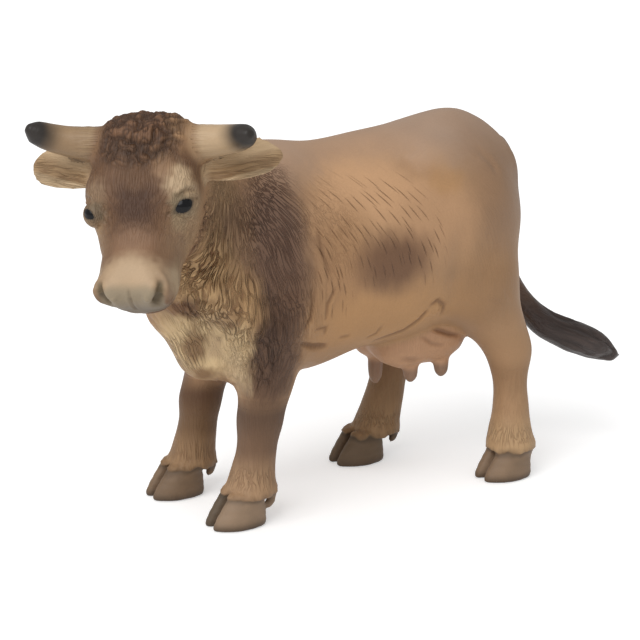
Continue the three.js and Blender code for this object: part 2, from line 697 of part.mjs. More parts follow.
function horn(side) {
  const centres = hornShares.map(([along, across, out, , lean]) =>
    inHead([along + lean * side, across, out], side),
  );
  const radii = hornShares.map((row) => (row[3] * HORN_THICKNESS) / 2);
  const inward = centres[0].clone().sub(centres[1]);
  const { peg, socket } = plug(wayOut(centres), inward, SMALL_PEG_DIAMETER, SMALL_PEG_LENGTH);
  return { body: limb(centres, radii, hornSteps, ROD_SIDES), peg, socket };
}

// Ears: the root and tip, each with the share by which the left one lies higher and the right one lower, and
// sections from root to tip, of the share along and the shares of the ear's width, cup and wall
const earEndShares = [[0.195, 0.46, -0.43, 0.015], [0.035, 1.3, -0.71, 0.01]];
const earOpeningShares = [0.05, 0, 1];
const earShares = [
  [-0.12, 0.4, 0, 2.4], [0.1, 0.45, 0, 2.2], [0.25, 0.75, 0.45, 1.4], [0.42, 0.98, 1, 1], [0.6, 1, 1, 1],
  [0.78, 0.84, 0.6, 0.9], [0.92, 0.52, 0.25, 0.8], [1, 0.18, 0.05, 0.6],
];
const earSides = 14;

function ear(side) {
  const [root, tip] = earEndShares.map(([along, across, out, lean]) =>
    inHead([along - lean * side, across, out], side),
  );
  const along = tip.clone().sub(root).normalize();
  const opening = new THREE.Vector3(...earOpeningShares).transformDirection(headFrame);
  const across = opening.clone().cross(along).normalize();
  opening.crossVectors(along, across);
  const rings = earShares.map(([place, width, cup, wall]) =>
    Array.from({ length: earSides }, (_, s) => {
      const angle = (s / earSides) * 2 * Math.PI;
      const out = cup * EAR_CUP * Math.sin(angle) ** 2 + (wall * EAR_WALL * Math.cos(angle)) / 2;
      return root
        .clone()
        .addScaledVector(along, place * EAR_LENGTH)
        .addScaledVector(across, (width * EAR_WIDTH * Math.sin(angle)) / 2)
        .addScaledVector(opening, out);
    }),
  );
  const inward = along.clone().negate();
  const { peg, socket } = plug(wayOut([root, tip]), inward, SMALL_PEG_DIAMETER, SMALL_PEG_LENGTH);
  return { body: loft(rings), peg, socket };
}

// The udder: eggs of centre shares, and half-size shares of its length, width and depth
const udderRootShares = [0.17, 0, 0.5];
const udderAtShares = [0.168, -0.014, 0.45];
const udderEggShares = [
  [[0, 0.04, 0.05], [0.48, 0.42, 0.42]],
  [[-0.2, 0.23, -0.17], [0.28, 0.27, 0.32]],
  [[0.16, 0.21, -0.17], [0.27, 0.25, 0.31]],
];
// Teats: where each starts in the bag, in the same shares, and a share of the teat's length
const teatShares = [
  [-0.14, -0.28, -0.37, 1], [0.175, -0.28, -0.37, 1], [-0.24, 0.24, -0.4, 1.35], [0.15, 0.28, -0.38, 1],
];
const teatRadiusShares = [1, 1, 0.8];
const teatSteps = 5;
const teatSides = 8;

function udder() {
  const at = point(udderAtShares);
  const size = new THREE.Vector3(UDDER_LENGTH, UDDER_WIDTH, UDDER_DEPTH);
  const place = ([x, y, z], side) => new THREE.Vector3(x, y * side, z).multiply(size).add(at);
  const masses = udderEggShares.flatMap(([centre, half]) =>
    [-1, 1].map((side) => egg(place(centre, side), new THREE.Vector3(...half).multiply(size))),
  );
  const field = (p) => masses.slice(1).reduce((d, mass) => blend(d, mass(p), LEG_BLEND), masses[0](p));
  const room = new THREE.Box3().setFromCenterAndSize(at, size).expandByScalar(marginCells * UDDER_CELL);
  let body = skin(field, room.min, room.max, UDDER_CELL);
  const radii = teatRadiusShares.map((share) => (share * TEAT_THICKNESS) / 2);
  for (const [x, y, z, length] of teatShares) {
    const top = place([x, y, z], 1);
    const tip = top.clone().addScaledVector(up, -length * TEAT_LENGTH);
    const middle = top.clone().lerp(tip, 0.5);
    body = body.add(limb([top, middle, tip], radii, teatSteps, teatSides));
  }
  const belly = wayOut([point(udderRootShares), at.clone().setZ(0)]);
  const { peg, socket } = plug(belly, up, LEG_PEG_DIAMETER, SMALL_PEG_LENGTH);
  return { body, peg, socket };
}

// The tail: rows of place shares and a share of the tail's thickness, then of the switch's
const tailShares = [
  [0.35, 0, 0.93, 1], [0.403, 0, 0.925, 1], [0.428, 0, 0.87, 0.95], [0.432, 0, 0.78, 0.9],
  [0.425, -0.01, 0.68, 0.9], [0.425, -0.02, 0.58, 0.95], [0.449, -0.04, 0.5, 1.05],
  [0.482, -0.07, 0.438, 1.15],
];
const switchShares = [
  [0.53, -0.11, 0.38, 0.92], [0.595, -0.16, 0.337, 1.12], [0.655, -0.195, 0.3, 0.96],
  [0.7, -0.22, 0.272, 0.55], [0.723, -0.23, 0.262, 0.25],
];
const tailSteps = 28;
const facetsPerLock = 2;
const lockStartShares = [0.6, 0.75]; // of the way to the tip, between which the grooves grow to their depth

function tail() {
  const rows = [...tailShares, ...switchShares];
  const radii = rows.map((row, i) => {
    const thickness = i < tailShares.length ? TAIL_THICKNESS : SWITCH_THICKNESS;
    return (row[3] * thickness) / 2;
  });
  const locks = (angle, along) => {
    const grown = THREE.MathUtils.smoothstep(along, ...lockStartShares);
    const groove = 1 - Math.abs(Math.cos((LOCK_COUNT * angle) / 2));
    return 1 - (grown * groove * LOCK_DEPTH) / SWITCH_THICKNESS;
  };
  const centres = rows.map(point);
  const inward = centres[0].clone().sub(centres[1]);
  const { peg, socket } = plug(wayOut(centres), inward, SMALL_PEG_DIAMETER, SMALL_PEG_LENGTH);
  return { body: limb(centres, radii, tailSteps, LOCK_COUNT * facetsPerLock, locks), peg, socket };
}

// Fit the pieces together. The legs' facets are not the trunk's, so what lies against both sits looser.
const looseShare = 1.5;
const trunkCutter = trunkSkin(looseShare * SEAM_GAP);
const headCutter = headSkin(SEAM_GAP);
const seated = (piece, cutter) => piece.body.subtract(cutter).add(piece.peg);
const horns = [1, -1].map(horn);
const ears = [1, -1].map(ear);
const bag = udder();
const brush = tail();

const neckPeg = plug(seams.neck.at, seams.neck.normal, NECK_PEG_DIAMETER, BODY_PEG_LENGTH);
let trunk = trunkSkin(0);
for (const seam of Object.values(seams)) trunk = keep(trunk, seam, 1);
for (const { socket } of [...legs, neckPeg, bag, brush]) trunk = trunk.subtract(socket);

let head = keep(headSkin(0), seams.neck, -1).add(neckPeg.peg).subtract(mouth());
for (const { socket } of [...horns, ...ears]) head = head.subtract(socket);
for (const side of [1, -1]) head = head.subtract(eye(side, SEAM_GAP)).subtract(nostril(side));

const figure = new THREE.Group();
const put = (name, body, finish) => figure.add(mesh(name, body, finish));
put("trunk", trunk, hide);
put("head", head, hide);
put("left_horn", seated(horns[0], headCutter), horny);
put("right_horn", seated(horns[1], headCutter), horny);
put("left_ear", seated(ears[0], headCutter), hide);
put("right_ear", seated(ears[1], headCutter), hide);
put("left_eye", eye(1, 0), glossy);
put("right_eye", eye(-1, 0), glossy);
for (const { name, body } of legs) put(name, body, hide);
put("udder", seated(bag, trunkCutter), skinPink);
put("tail", seated(brush, trunkCutter), dark);

// Stand the figure on the ground with its middle over the origin
const bounds = new THREE.Box3().setFromObject(figure);
const middle = bounds.getCenter(new THREE.Vector3());
figure.position.set(-middle.x, -middle.y, -bounds.min.z);

const cow = new THREE.Group().add(figure);

export default cow;
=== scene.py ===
import math

import bmesh
import bpy
import numpy as np
from mathutils import Matrix, Vector
from mathutils.bvhtree import BVHTree


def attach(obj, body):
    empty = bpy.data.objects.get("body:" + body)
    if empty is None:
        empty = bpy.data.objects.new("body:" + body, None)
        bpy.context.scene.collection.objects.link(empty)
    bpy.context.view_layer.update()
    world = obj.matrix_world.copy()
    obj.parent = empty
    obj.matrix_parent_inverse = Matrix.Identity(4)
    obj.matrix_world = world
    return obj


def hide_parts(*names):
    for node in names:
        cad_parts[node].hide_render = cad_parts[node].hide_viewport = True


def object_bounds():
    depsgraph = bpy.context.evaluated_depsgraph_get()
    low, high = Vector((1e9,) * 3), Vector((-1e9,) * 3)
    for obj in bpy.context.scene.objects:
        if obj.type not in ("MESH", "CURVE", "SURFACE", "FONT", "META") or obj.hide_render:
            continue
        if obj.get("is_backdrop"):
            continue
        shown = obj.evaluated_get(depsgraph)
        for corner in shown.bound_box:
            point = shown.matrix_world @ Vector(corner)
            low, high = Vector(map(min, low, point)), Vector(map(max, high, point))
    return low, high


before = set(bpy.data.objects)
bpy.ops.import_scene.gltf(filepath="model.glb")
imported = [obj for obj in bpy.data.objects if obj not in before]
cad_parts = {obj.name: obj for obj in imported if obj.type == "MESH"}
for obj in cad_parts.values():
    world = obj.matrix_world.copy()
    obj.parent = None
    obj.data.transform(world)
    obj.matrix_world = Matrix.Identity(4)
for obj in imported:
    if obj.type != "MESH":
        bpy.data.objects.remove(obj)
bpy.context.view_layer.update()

# The casting. The pieces are moulded in solid plastic, plugged together and glued, and paint hides the
# joints. Their skin is drawn over the CAD solids in one, and sawn at the real seams. Places are in
# millimetres, measured on the ground from under the middle of the barrel.
body_at = np.array([1.261, 5.997, 0])
skin_pitch = 0.4
pass_share = (0.37 / skin_pitch) ** 2  # the counts of relaxing passes are set for a pitch of 0.37
seam_filler = 0.22
neck_at = np.array([-43.24, -8.28, 68.08])
neck_normal = np.array([0.899, 0.36, -0.25])  # points at the trunk
front_seam_z = 25.4
hind_seam_at = np.array([0, 0, 25.4])
hind_normal = np.array([-0.199, 0, 0.98])
big_nodes = ["trunk", "head", "front_left_leg", "front_right_leg", "hind_left_leg", "hind_right_leg"]
eye_nodes = ["left_eye", "right_eye"]
small_nodes = ["left_horn", "right_horn", "left_ear", "right_ear", "udder", "tail"]


def fade(value, start, end):
    """0 at start and 1 at end, with soft ends."""
    share = np.clip((value - start) / (end - start), 0, 1)
    return share * share * (3 - 2 * share)


def merged_copy(*nodes):
    """The CAD solids of some nodes as one bmesh in millimetres, with their loose triangles joined."""
    work = bmesh.new()
    for node in nodes:
        work.from_mesh(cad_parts[node].data)
    bmesh.ops.remove_doubles(work, verts=work.verts, dist=1e-6)
    bmesh.ops.scale(work, vec=(1000, 1000, 1000), verts=work.verts)
    bmesh.ops.translate(work, vec=Vector(-body_at), verts=work.verts)
    return work


def fatten(work, amount):
    """Moves every face out by an amount, which a function gives at each place."""
    work.normal_update()
    moves = [v.normal * amount(v.co) * min(v.calc_shell_factor(), 1.6) for v in work.verts]
    for vert, move in zip(work.verts, moves):
        vert.co += move


def as_mesh(name, work):
    mesh = bpy.data.meshes.new(name)
    work.to_mesh(mesh)
    work.free()
    return mesh


def new_object(name, data):
    made = bpy.data.objects.new(name, data)
    bpy.context.collection.objects.link(made)
    return made


def remeshed(work, pitch):
    """One even skin of small quads over all the shells of a bmesh, without inner islands."""
    holder = new_object("skin", as_mesh("skin", work))
    remesh = holder.modifiers.new("remesh", "REMESH")
    remesh.mode = "VOXEL"
    remesh.voxel_size = pitch
    skin = bpy.data.meshes.new_from_object(holder.evaluated_get(bpy.context.evaluated_depsgraph_get()))
    bpy.data.objects.remove(holder)
    work = bmesh.new()
    work.from_mesh(skin)
    unseen = set(work.verts)
    islands = []
    while unseen:
        island = set()
        edge_of_island = [unseen.pop()]
        while edge_of_island:
            vert = edge_of_island.pop()
            island.add(vert)
            for edge in vert.link_edges:
                other = edge.other_vert(vert)
                if other in unseen:
                    unseen.remove(other)
                    edge_of_island.append(other)
        islands.append(island)
    islands.sort(key=len)
    for island in islands[:-1]:
        bmesh.ops.delete(work, geom=list(island), context="VERTS")
    work.to_mesh(skin)
    work.free()
    return skin


def numbers(collection, name, width=3):
    """One property of all the items, as rows of numbers."""
    values = np.empty(len(collection) * width)
    collection.foreach_get(name, values)
    return values.reshape(-1, width)


def edge_ends(mesh):
    ends = np.empty(len(mesh.edges) * 2, np.int32)
    mesh.edges.foreach_get("vertices", ends)
    return ends.reshape(-1, 2)


def evened(places, ends, passes):
    """Relaxes places towards their neighbours. Passes is a count for each place."""
    first, second = ends.T
    count = np.bincount(ends.ravel(), minlength=len(places))
    places = places.copy()
    for done in range(int(passes.max())):
        pull = 0.5 * np.clip(passes - done, 0, 1)
        for axis in range(3):
            values = places[:, axis]
            total = np.bincount(first, values[second], len(values))
            total += np.bincount(second, values[first], len(values))
            places[:, axis] = values + pull * (total / count - values)
    return places


def grain(places, size, seed):
    """Soft seeded noise between about -1 and 1, with lumps of a size, or of a size along each axis."""
    spot = places / size + seed * 7.31
    base = np.floor(spot)
    part = spot - base
    ease = part * part * part * (part * (part * 6 - 15) + 10)
    base = base.astype(np.int64)
    total = np.zeros(len(places))
    for corner in np.ndindex(2, 2, 2):
        key = (base + corner) @ np.array([1619, 31337, 6971]) + seed * 1013
        key = ((key ^ (key >> 11)) * 2246822519) & 0xFFFFFFFF
        key = ((key ^ (key >> 13)) * 3266489917) & 0xFFFFFFFF
        key ^= key >> 16
        slopes = np.stack([key & 1023, (key >> 10) & 1023, (key >> 20) & 1023], 1) / 511.5 - 1
        weight = np.where(corner, ease, 1 - ease).prod(1)
        total += weight * ((part - corner) * slopes).sum(1)
    return total


casting = merged_copy(*big_nodes, *eye_nodes, *small_nodes)
fatten(casting, lambda place: seam_filler * float(fade(place.z, 7, 11)))
casting = remeshed(casting, skin_pitch)
cast_places = numbers(casting.vertices, "co")
cast_places -= numbers(casting.vertices, "normal") * seam_filler * fade(cast_places[:, 2:], 7, 11)

# How far each place lies inside a small piece's share of the skin, and which small piece is near
margin, which = np.full(len(cast_places), -9.0), np.zeros(len(cast_places))
solids = {}
for name in big_nodes + small_nodes:
    work = merged_copy(name)
    solids[name] = BVHTree.FromBMesh(work)
    corners = np.array([v.co for v in work.verts])
    work.free()
    if name not in small_nodes:
        continue
    near = ((cast_places > corners.min(0) - 2) & (cast_places < corners.max(0) + 2)).all(1)
    others = [tree for other, tree in solids.items() if other != name]
    for index in np.flatnonzero(near):
        spot = Vector(cast_places[index])
        own_gap = solids[name].find_nearest(spot, 2.5)[3]
        if own_gap is None:
            continue
        other_gaps = [tree.find_nearest(spot, own_gap + 3)[3] for tree in others]
        inside = min([gap for gap in other_gaps if gap is not None], default=own_gap + 3) - own_gap
        if inside > margin[index]:
            margin[index], which[index] = inside, small_nodes.index(name)

behind_neck = (cast_places - neck_at) @ neck_normal
trunk_passes = 70 * pass_share
cast_passes = trunk_passes * np.where(
    cast_places[:, 2] < 40,
    0.1 + 0.9 * fade(cast_places[:, 2], 8, 26),
    0.22 + 0.78 * fade(behind_neck, -7, 3),
)
at_tail_root = fade(cast_places[:, 0], 20, 30) * fade(cast_places[:, 2], 50, 60)
small_passes = (5 + 14 * fade(margin, 1.5, 0) + 50 * at_tail_root) * pass_share
cast_passes = np.where(margin > 0, small_passes, cast_passes)
cast_places = evened(cast_places, edge_ends(casting), cast_passes)
casting.vertices.foreach_set("co", cast_places.ravel())
casting.update()
outward = casting.attributes.new("outward", "FLOAT_VECTOR", "POINT")
outward.data.foreach_set("vector", numbers(casting.vertices, "normal").ravel())
for kind, values in (("margin", margin), ("which", which), ("free", fade(np.abs(margin), 0.2, 1.7))):
    casting.attributes.new(kind, "FLOAT", "POINT").data.foreach_set("value", values)


def piece_at(x, y, z):
    """The piece that owns a place on the casting."""
    level_part = (x - neck_at[0]) * neck_normal[0] + (y - neck_at[1]) * neck_normal[1]
    if level_part < (neck_at[2] - z) * neck_normal[2]:
        return "head"
    side = "left" if y < 0 else "right"
    if x < 0:
        return f"front_{side}_leg" if z < front_seam_z else "trunk"
    hind_seam_z = hind_seam_at[2] - x * hind_normal[0] / hind_normal[2]
    return f"hind_{side}_leg" if z < hind_seam_z else "trunk"


whole = bmesh.new()
whole.from_mesh(casting)
for plane_at, plane_normal, near in (
    (neck_at, neck_normal, lambda v: v.z > 45 and v.x < -30),
    (np.array([0, 0, front_seam_z]), np.array([0, 0, 1]), lambda v: v.x < -10),
    (hind_seam_at, hind_normal, lambda v: v.x > 4),
):
    close_by = [
        face
        for face in whole.faces
        if abs((np.array(face.verts[0].co) - plane_at) @ plane_normal) < 2 and near(face.verts[0].co)
    ]
    geometry = close_by + list({edge for face in close_by for edge in face.edges})
    geometry += list({vert for face in close_by for vert in face.verts})
    bmesh.ops.bisect_plane(whole, geom=geometry, dist=0.06, plane_co=plane_at, plane_no=plane_normal)
margin_of, which_of = whole.verts.layers.float["margin"], whole.verts.layers.float["which"]
owner = []
for face in whole.faces:
    inmost = max(face.verts, key=lambda v: v[margin_of])
    if sum(v[margin_of] for v in face.verts) > 0:
        owner.append(small_nodes[round(inmost[which_of])])
    else:
        owner.append(piece_at(*face.calc_center_median()))


def sawn_off(name, cuts):
    """One piece of the casting as a mesh, open at its seams, with its quads cut finer."""
    part = whole.copy()
    part.faces.ensure_lookup_table()
    spare = [face for face, piece in zip(part.faces, owner) if piece != name]
    bmesh.ops.delete(part, geom=spare, context="FACES")
    if cuts:
        bmesh.ops.subdivide_edges(part, edges=part.edges, cuts=cuts, use_grid_fill=True)
    rim = np.array([v.is_boundary for v in part.verts])
    mesh = as_mesh(name, part)
    if cuts:
        places = evened(numbers(mesh.vertices, "co"), edge_ends(mesh), np.where(rim, 0, 5))
        mesh.vertices.foreach_set("co", places.ravel())
    return mesh


def read_back(mesh):
    """Each vertex's place, the casting's outward direction there, and how free it is of a small seam."""
    ways = numbers(mesh.attributes["outward"].data, "vector")
    ways /= np.linalg.norm(ways, axis=1, keepdims=True)
    return numbers(mesh.vertices, "co"), ways, numbers(mesh.attributes["free"].data, "value", 1)[:, 0]


# Trunk: body with neck, brisket and thighs, one moulding. Hair is modelled as wavy grooves with soft locks
# between, deep on the throat and elbow and faint on the rump. Folds are pressed in at elbow, flank and hip.
# Hair zones: middle along and up, reach along and up, and strength
lock_zones = [
    (-39, 56, 8, 14, 1.0), (-38, 44, 9, 9, 0.75), (-30, 43, 7, 12, 1.0), (-29, 34, 6, 9, 0.8),
    (-23, 50, 8, 14, 0.45), (-16, 52, 5, 16, 0.4),
]
comb_zones = [
    (-25, 60, 10, 13, 1.0), (-24, 46, 9, 13, 0.8), (-26, 34, 7, 10, 0.7), (-12, 58, 8, 12, 0.3),
    (-34, 62, 9, 12, 0.6), (27, 50, 14, 24, 0.1),
]
stroke_zones = [
    (-9, 60, 9, 9, 0.62), (1, 61, 9, 7, 0.65), (7, 53, 6, 9, 0.65), (-13, 50, 5, 13, 0.6),
    (-3, 52, 7, 8, 0.45),
]
tangle_zones = [
    (-40, 57, 7, 12, 1.0), (-37, 47, 8, 9, 0.8), (-31, 44, 6, 12, 0.9), (-38.5, 36, 4, 8, 0.8),
    (-27.5, 36, 4, 9, 0.8), (-35, 66, 5, 6, 0.5), (-26, 40, 4, 8, 0.5),
]
plain_coat = 0.04
strand_depth, tuft_depth, tuft_swell, body_swell = 0.3, 0.4, 0.4, 0.22
# Folds: a path of places on the near side, and the width and depth of the crease; less than zero is a ridge
body_folds = [
    ([(9, -16.4, 40.2), (10.9, -16.4, 41.1), (13, -15.5, 39.6), (13.6, -14.1, 37.4)], 0.5, 0.35),
    ([(10.6, -16, 38.7), (11.6, -15.7, 38.9)], 1.3, -0.5),
    ([(8.8, -16.1, 39.3), (7.5, -15.2, 37.2), (4.9, -13.7, 35), (-0.9, -11.7, 33)], 0.55, 0.4),
    ([(-3.7, -13.2, 34.7), (-1.9, -13.6, 35.4), (-1.4, -15, 37.2)], 0.35, 0.25),
    ([(-20.4, -16.2, 36.7), (-17, -14.2, 35.3), (-13.2, -13.2, 34.5)], 0.5, 0.6),
    ([(-20.5, -15.5, 34), (-16, -13.8, 32.8), (-12, -11.5, 31.6)], 1.8, -0.7),
    ([(-19.9, -16.8, 39.9), (-18.1, -16.1, 41.5), (-17.3, -15.5, 44.7), (-17.5, -15.1, 47)], 0.45, 0.4),
    ([(-14.5, -15.3, 40.4), (-14.2, -15.6, 43.5), (-12.6, -15.8, 46.5)], 0.4, 0.3),
    ([(-17, -15.7, 38.8), (-14.3, -15, 38.7), (-14.3, -14.5, 37.2)], 0.4, 0.3),
    ([(-10.5, -14.1, 35.9), (-8.3, -14.2, 36)], 0.4, 0.2),
    ([(5.8, -10, 68.7), (7.5, -11.7, 67.6), (9.1, -13.5, 65.7), (11.9, -15, 64.5), (14.1, -16, 62.8)],
     1.3, 0.3),
    ([(-5.5, -5.9, 70.6), (3, -7.1, 70.9), (10, -10.7, 70.4)], 1.0, 0.15),
    ([(17.3, -17.8, 57.8), (15.3, -17.4, 52), (15.1, -17.2, 45.9), (14.7, -15.9, 40.5)], 1.8, 0.3),
    ([(22.4, -13.4, 69.3), (24.5, -14.3, 67.6), (25.6, -15.6, 65.3)], 0.8, 0.25),
    ([(22.1, -18, 40), (24.6, -18.1, 38.4)], 0.6, 0.15),
    ([(25.8, -18.6, 41.7), (28.3, -17.8, 39.1)], 0.6, 0.15),
    ([(-17.5, -9.4, 66), (-16.4, -13.3, 57.8), (-16.4, -14.8, 50.3), (-17.8, -15.6, 44.8),
      (-19.5, -16.1, 37.3)], 1.1, 0.3),
    ([(-15.1, -13.4, 57.6), (-14.9, -14.4, 53.9), (-13.7, -15.4, 49.1)], 0.5, 0.3),
]
narrow_fold = 0.6  # only narrower folds hold dark wash
body_flat = (1, 0.2, 1)  # a fold's distance counts little across the body


def near_side(places):
    """Folds the far half of the body over onto the near half."""
    folded = places.copy()
    folded[:, 1] = -np.abs(places[:, 1])
    return folded


def creased(places, folds, flat=(1, 1, 1)):
    """How far each place is pressed in by folds: a rounded valley between two soft lips. Distances are
    shrunk by flat along each axis."""
    flat = np.array(flat)
    places = places * flat
    depth = np.zeros(len(places))
    for path, width, press in folds:
        path = np.array(path, float) * flat
        low, high = path.min(0) - 4 * width, path.max(0) + 4 * width
        close_by = np.flatnonzero(((places > low) & (places < high)).all(1))
        if not len(close_by):
            continue
        spot = places[close_by]
        apart = np.full(len(spot), np.inf)
        fraction = np.zeros(len(spot))
        for number, (start, end) in enumerate(zip(path[:-1], path[1:])):
            along = end - start
            share = np.clip((spot - start) @ along / (along @ along), 0, 1)
            gap = np.linalg.norm(spot - start - share[:, None] * along, axis=1)
            fraction = np.where(gap < apart, (number + share) / (len(path) - 1), fraction)
            apart = np.minimum(apart, gap)
        ends = 0.25 + 0.75 * np.sqrt(np.clip(4 * fraction * (1 - fraction), 0, 1))
        valley = np.exp(-((apart / width) ** 2)) - 0.3 * np.exp(-(((apart - 1.9 * width) / width) ** 2))
        depth[close_by] -= press * ends * valley
    return depth


def combed(places):
    """Places in the hair's own frame, where every strand hangs straight down: across, out and along."""
    x, y, z = places.T
    lean = 9 * fade(-x, 30, 45) * fade(z, 45, 60)
    round_front = np.arctan2(np.maximum(-28 - x, 0), np.abs(y + lean) + 0.5)
    across = np.maximum(x, -28) - 13 * round_front
    high = np.clip((z - 35) / 35, 0, 1.3)
    low = np.clip((35 - z) / 12, 0, 1.6)
    wave = 0.7 + 0.8 * fade(-x, 28, 36)
    across += (-21 + 38 * fade(x, -42, -25)) * high**3 + 2.4 * low**2 + wave * grain(places, 5.5, 1)
    return np.stack([across, y + wave * grain(places, 5.5, 2), z], 1)


def in_zones(places, zones, least=0.0):
    """The strength of the strongest zone at each place."""
    strength = np.full(len(places), least)
    for x, z, reach_x, reach_z, amount in zones:
        away = np.hypot((places[:, 0] - x) / reach_x, (places[:, 2] - z) / reach_z)
        strength = np.maximum(strength, amount * fade(away, 1.2, 0.4))
    return strength


def locks(comb, pitch, length, seed):
    """Locks of hair: 0 on their rounded backs and 1 in the sharp groove between two."""
    return 1 - np.minimum(np.abs(grain(comb, np.array([pitch, pitch, length]), seed)) / 0.32, 1)


def body_relief(places, ways):
    """Height of the modelled surface over the plain skin, how much dark wash each groove holds, the comb,
    and how strong the fine ridges, the sparse strokes and the tangles are."""
    comb = combed(places)
    off_back = 1 - 0.85 * fade(ways[:, 2], 0.5, 0.9)
    patchy = 0.7 + 0.6 * fade(grain(places, 8, 3), -0.4, 0.4)
    locked = in_zones(places, lock_zones) * off_back * patchy
    coat = in_zones(places, comb_zones, plain_coat) * off_back * (1.7 - patchy)
    strokes = in_zones(places, stroke_zones) * off_back
    tangles = in_zones(places, tangle_zones) * off_back * patchy
    shaggy = fade(-places[:, 0], 31, 38) * fade(places[:, 2], 36, 42) * locked
    strands = locks(comb, 1.5, 8, 4)
    tufts = locks(comb + 0.8 * np.stack([grain(places, 2.2, seed) for seed in (8, 9, 10)], 1), 1.7, 3.6, 5)
    height = -strand_depth * locked * strands - tuft_depth * shaggy * tufts
    height += tuft_swell * shaggy * grain(places, 3.2, 6)
    height += body_swell * grain(places, 13, 7)
    height += creased(near_side(places), body_folds, body_flat)
    narrow_folds = [fold for fold in body_folds if fold[1] < narrow_fold]
    fold_lines = creased(near_side(places), narrow_folds, body_flat)
    wash = np.clip(locked * strands**1.5 * 0.8 + shaggy * tufts**1.5 * 0.8, 0, 1)
    wash = np.maximum(wash, np.clip(-3.6 * fold_lines, 0, 1))
    return height, wash, comb, np.stack([coat, strokes, tangles])


def linear(colour):
    """An sRGB colour of 0 to 255 as the linear one that Blender paints with."""
    share = np.array(colour) / 255
    return np.where(share <= 0.04045, share / 12.92, ((share + 0.055) / 1.055) ** 2.4)


def tinted(colours, share, colour):
    """Lays one colour over the paint, by a share for each place."""
    return colours + share[:, None] * (linear(colour) - colours)


# Sprays: middle, reach, colour and cover. They are laid one over another, as with an airbrush.
tan = (166, 131, 99)
# Some of the body's sprays stand for light and shade rather than the hide's own paint, as marked below
body_sprays_and_painted_light = [
    ((19, 0, 76), (28, 40, 11), (164, 138, 120), 0.95),
    ((-7, 0, 73), (20, 40, 7), (172, 140, 116), 0.8),
    ((-18, 0, 70), (9, 40, 6), (172, 142, 120), 0.9),
    ((27, -14, 62), (12, 20, 16), (142, 112, 88), 0.75),
    # The darker rear edge of the rump is partly its own paint and partly painted shade
    ((38, 0, 55), (6, 40, 18), (122, 92, 72), 0.7),
    ((23, -15, 42), (12, 20, 9), (150, 116, 84), 0.8),
    # The light orange-tan over the upper ribs is partly its own paint and partly a painted highlight
    ((-4, -12, 63), (17, 12, 9), (198, 157, 121), 0.9),
    ((10, -16, 57), (10, 12, 9), (184, 145, 112), 0.8),
    # Darker tan in the flank hollow behind the last rib: painted shade
    ((8, -12, 67), (5, 8, 2.5), (156, 122, 94), 0.4),
    # The ochre spot on the hip bone is partly its own paint and partly a painted highlight
    ((13, -15, 65), (4, 8, 3.5), (172, 131, 88), 0.5),
    ((-10, -15, 50), (7, 12, 14), (164, 126, 92), 0.8),
    ((-1, -14, 39), (22, 14, 8), (182, 140, 98), 0.9),
    ((0.2, -17, 50.3), (9, 12, 6.8), (110, 80, 60), 0.92),
    ((-24.5, -13, 58), (8.5, 13, 15), (124, 97, 82), 0.97),
    ((-24.5, -14, 48), (7, 13, 12), (112, 84, 67), 0.9),
    ((-26, -16, 36), (6.5, 9, 13), (94, 68, 51), 0.97),
    ((-33.5, -13, 60), (5, 9, 9), (138, 109, 84), 0.9),
    ((-38, -12.5, 59), (4.5, 9, 6), (180, 146, 108), 0.9),
    ((-37, -13, 67), (6, 8, 5), (178, 146, 112), 0.85),
    ((-39, -12, 51), (7, 9, 9), (216, 180, 134), 0.95),
    ((-31.5, -13, 45), (4.5, 8, 8), (186, 150, 108), 0.9),
    ((-38, -7, 36), (9, 9, 11), (236, 208, 164), 0.95),
    ((-31, -13, 27), (6, 6, 5), (98, 72, 54), 0.9),
    ((-41.2, -8, 44.6), (3.4, 4, 2.8), (116, 78, 52), 0.85),
    ((-37.8, -5, 35.8), (2.6, 3.8, 6.4), (124, 90, 58), 0.85),
    ((-35, -3.8, 30), (2.4, 3.4, 2.6), (130, 96, 64), 0.85),
    ((-34.4, -8.4, 35.6), (2.6, 3, 3.4), (196, 168, 134), 0.9),
]
# The near foreleg is pale in front, and dark on the outside down to the knee
near_sprays = [
    ((-31.3, -11, 37), (3.2, 5, 9), (222, 194, 152), 0.92),
    ((-31.8, -10.5, 29), (3, 5, 7), (220, 194, 158), 0.95),
    ((-24.5, -14, 31), (4.7, 6, 9), (94, 69, 53), 0.97),
]
wash_share = 0.5
wash_tint = linear((120, 92, 72)) / linear((200, 190, 180)) * 0.6


def sprayed(places, colours, sprays):
    """Lays soft sprays of paint over the colours, with streaky edges."""
    streaks = np.array([1.2, 1.2, 3.6])
    drift = [1.6 * grain(places, 7, seed) + 1.2 * grain(places, streaks, seed) for seed in (11, 12, 13)]
    drifted = places + np.stack(drift, 1)
    for middle, reach, colour, cover in sprays:
        away = np.linalg.norm((drifted - middle) / reach, axis=1)
        colours = tinted(colours, cover * fade(away, 1.25, 0.35), colour)
    return colours


def washed(colours, wash):
    """Dark wash that is wiped off the ridges and stays in the grooves."""
    return colours * (1 - wash_share * wash[:, None] * (1 - wash_tint))


def body_colours(places, wash):
    colours = np.tile(linear(tan), (len(places), 1))
    colours = sprayed(places, sprayed(near_side(places), colours, body_sprays_and_painted_light), near_sprays)
    colours *= 1 + 0.05 * grain(places, 4, 14)[:, None]
    return washed(colours, wash)


# The colour that both sides of a small piece's seam share, in the order of the small pieces, and the warm
# tint of the varnish over all the paint
root_colours = [
    (158, 128, 98), (128, 98, 72), (172, 146, 116), (160, 132, 104), (180, 142, 106), (140, 113, 93),
]
varnish = np.array([1.02, 1.0, 0.94])


def put_in_place(mesh, name, material):
    """Puts a finished mesh where its CAD node is, with its material."""
    mesh.materials.clear()
    mesh.materials.append(material)
    piece = new_object(name, mesh)
    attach(piece, "root")
    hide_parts(name)


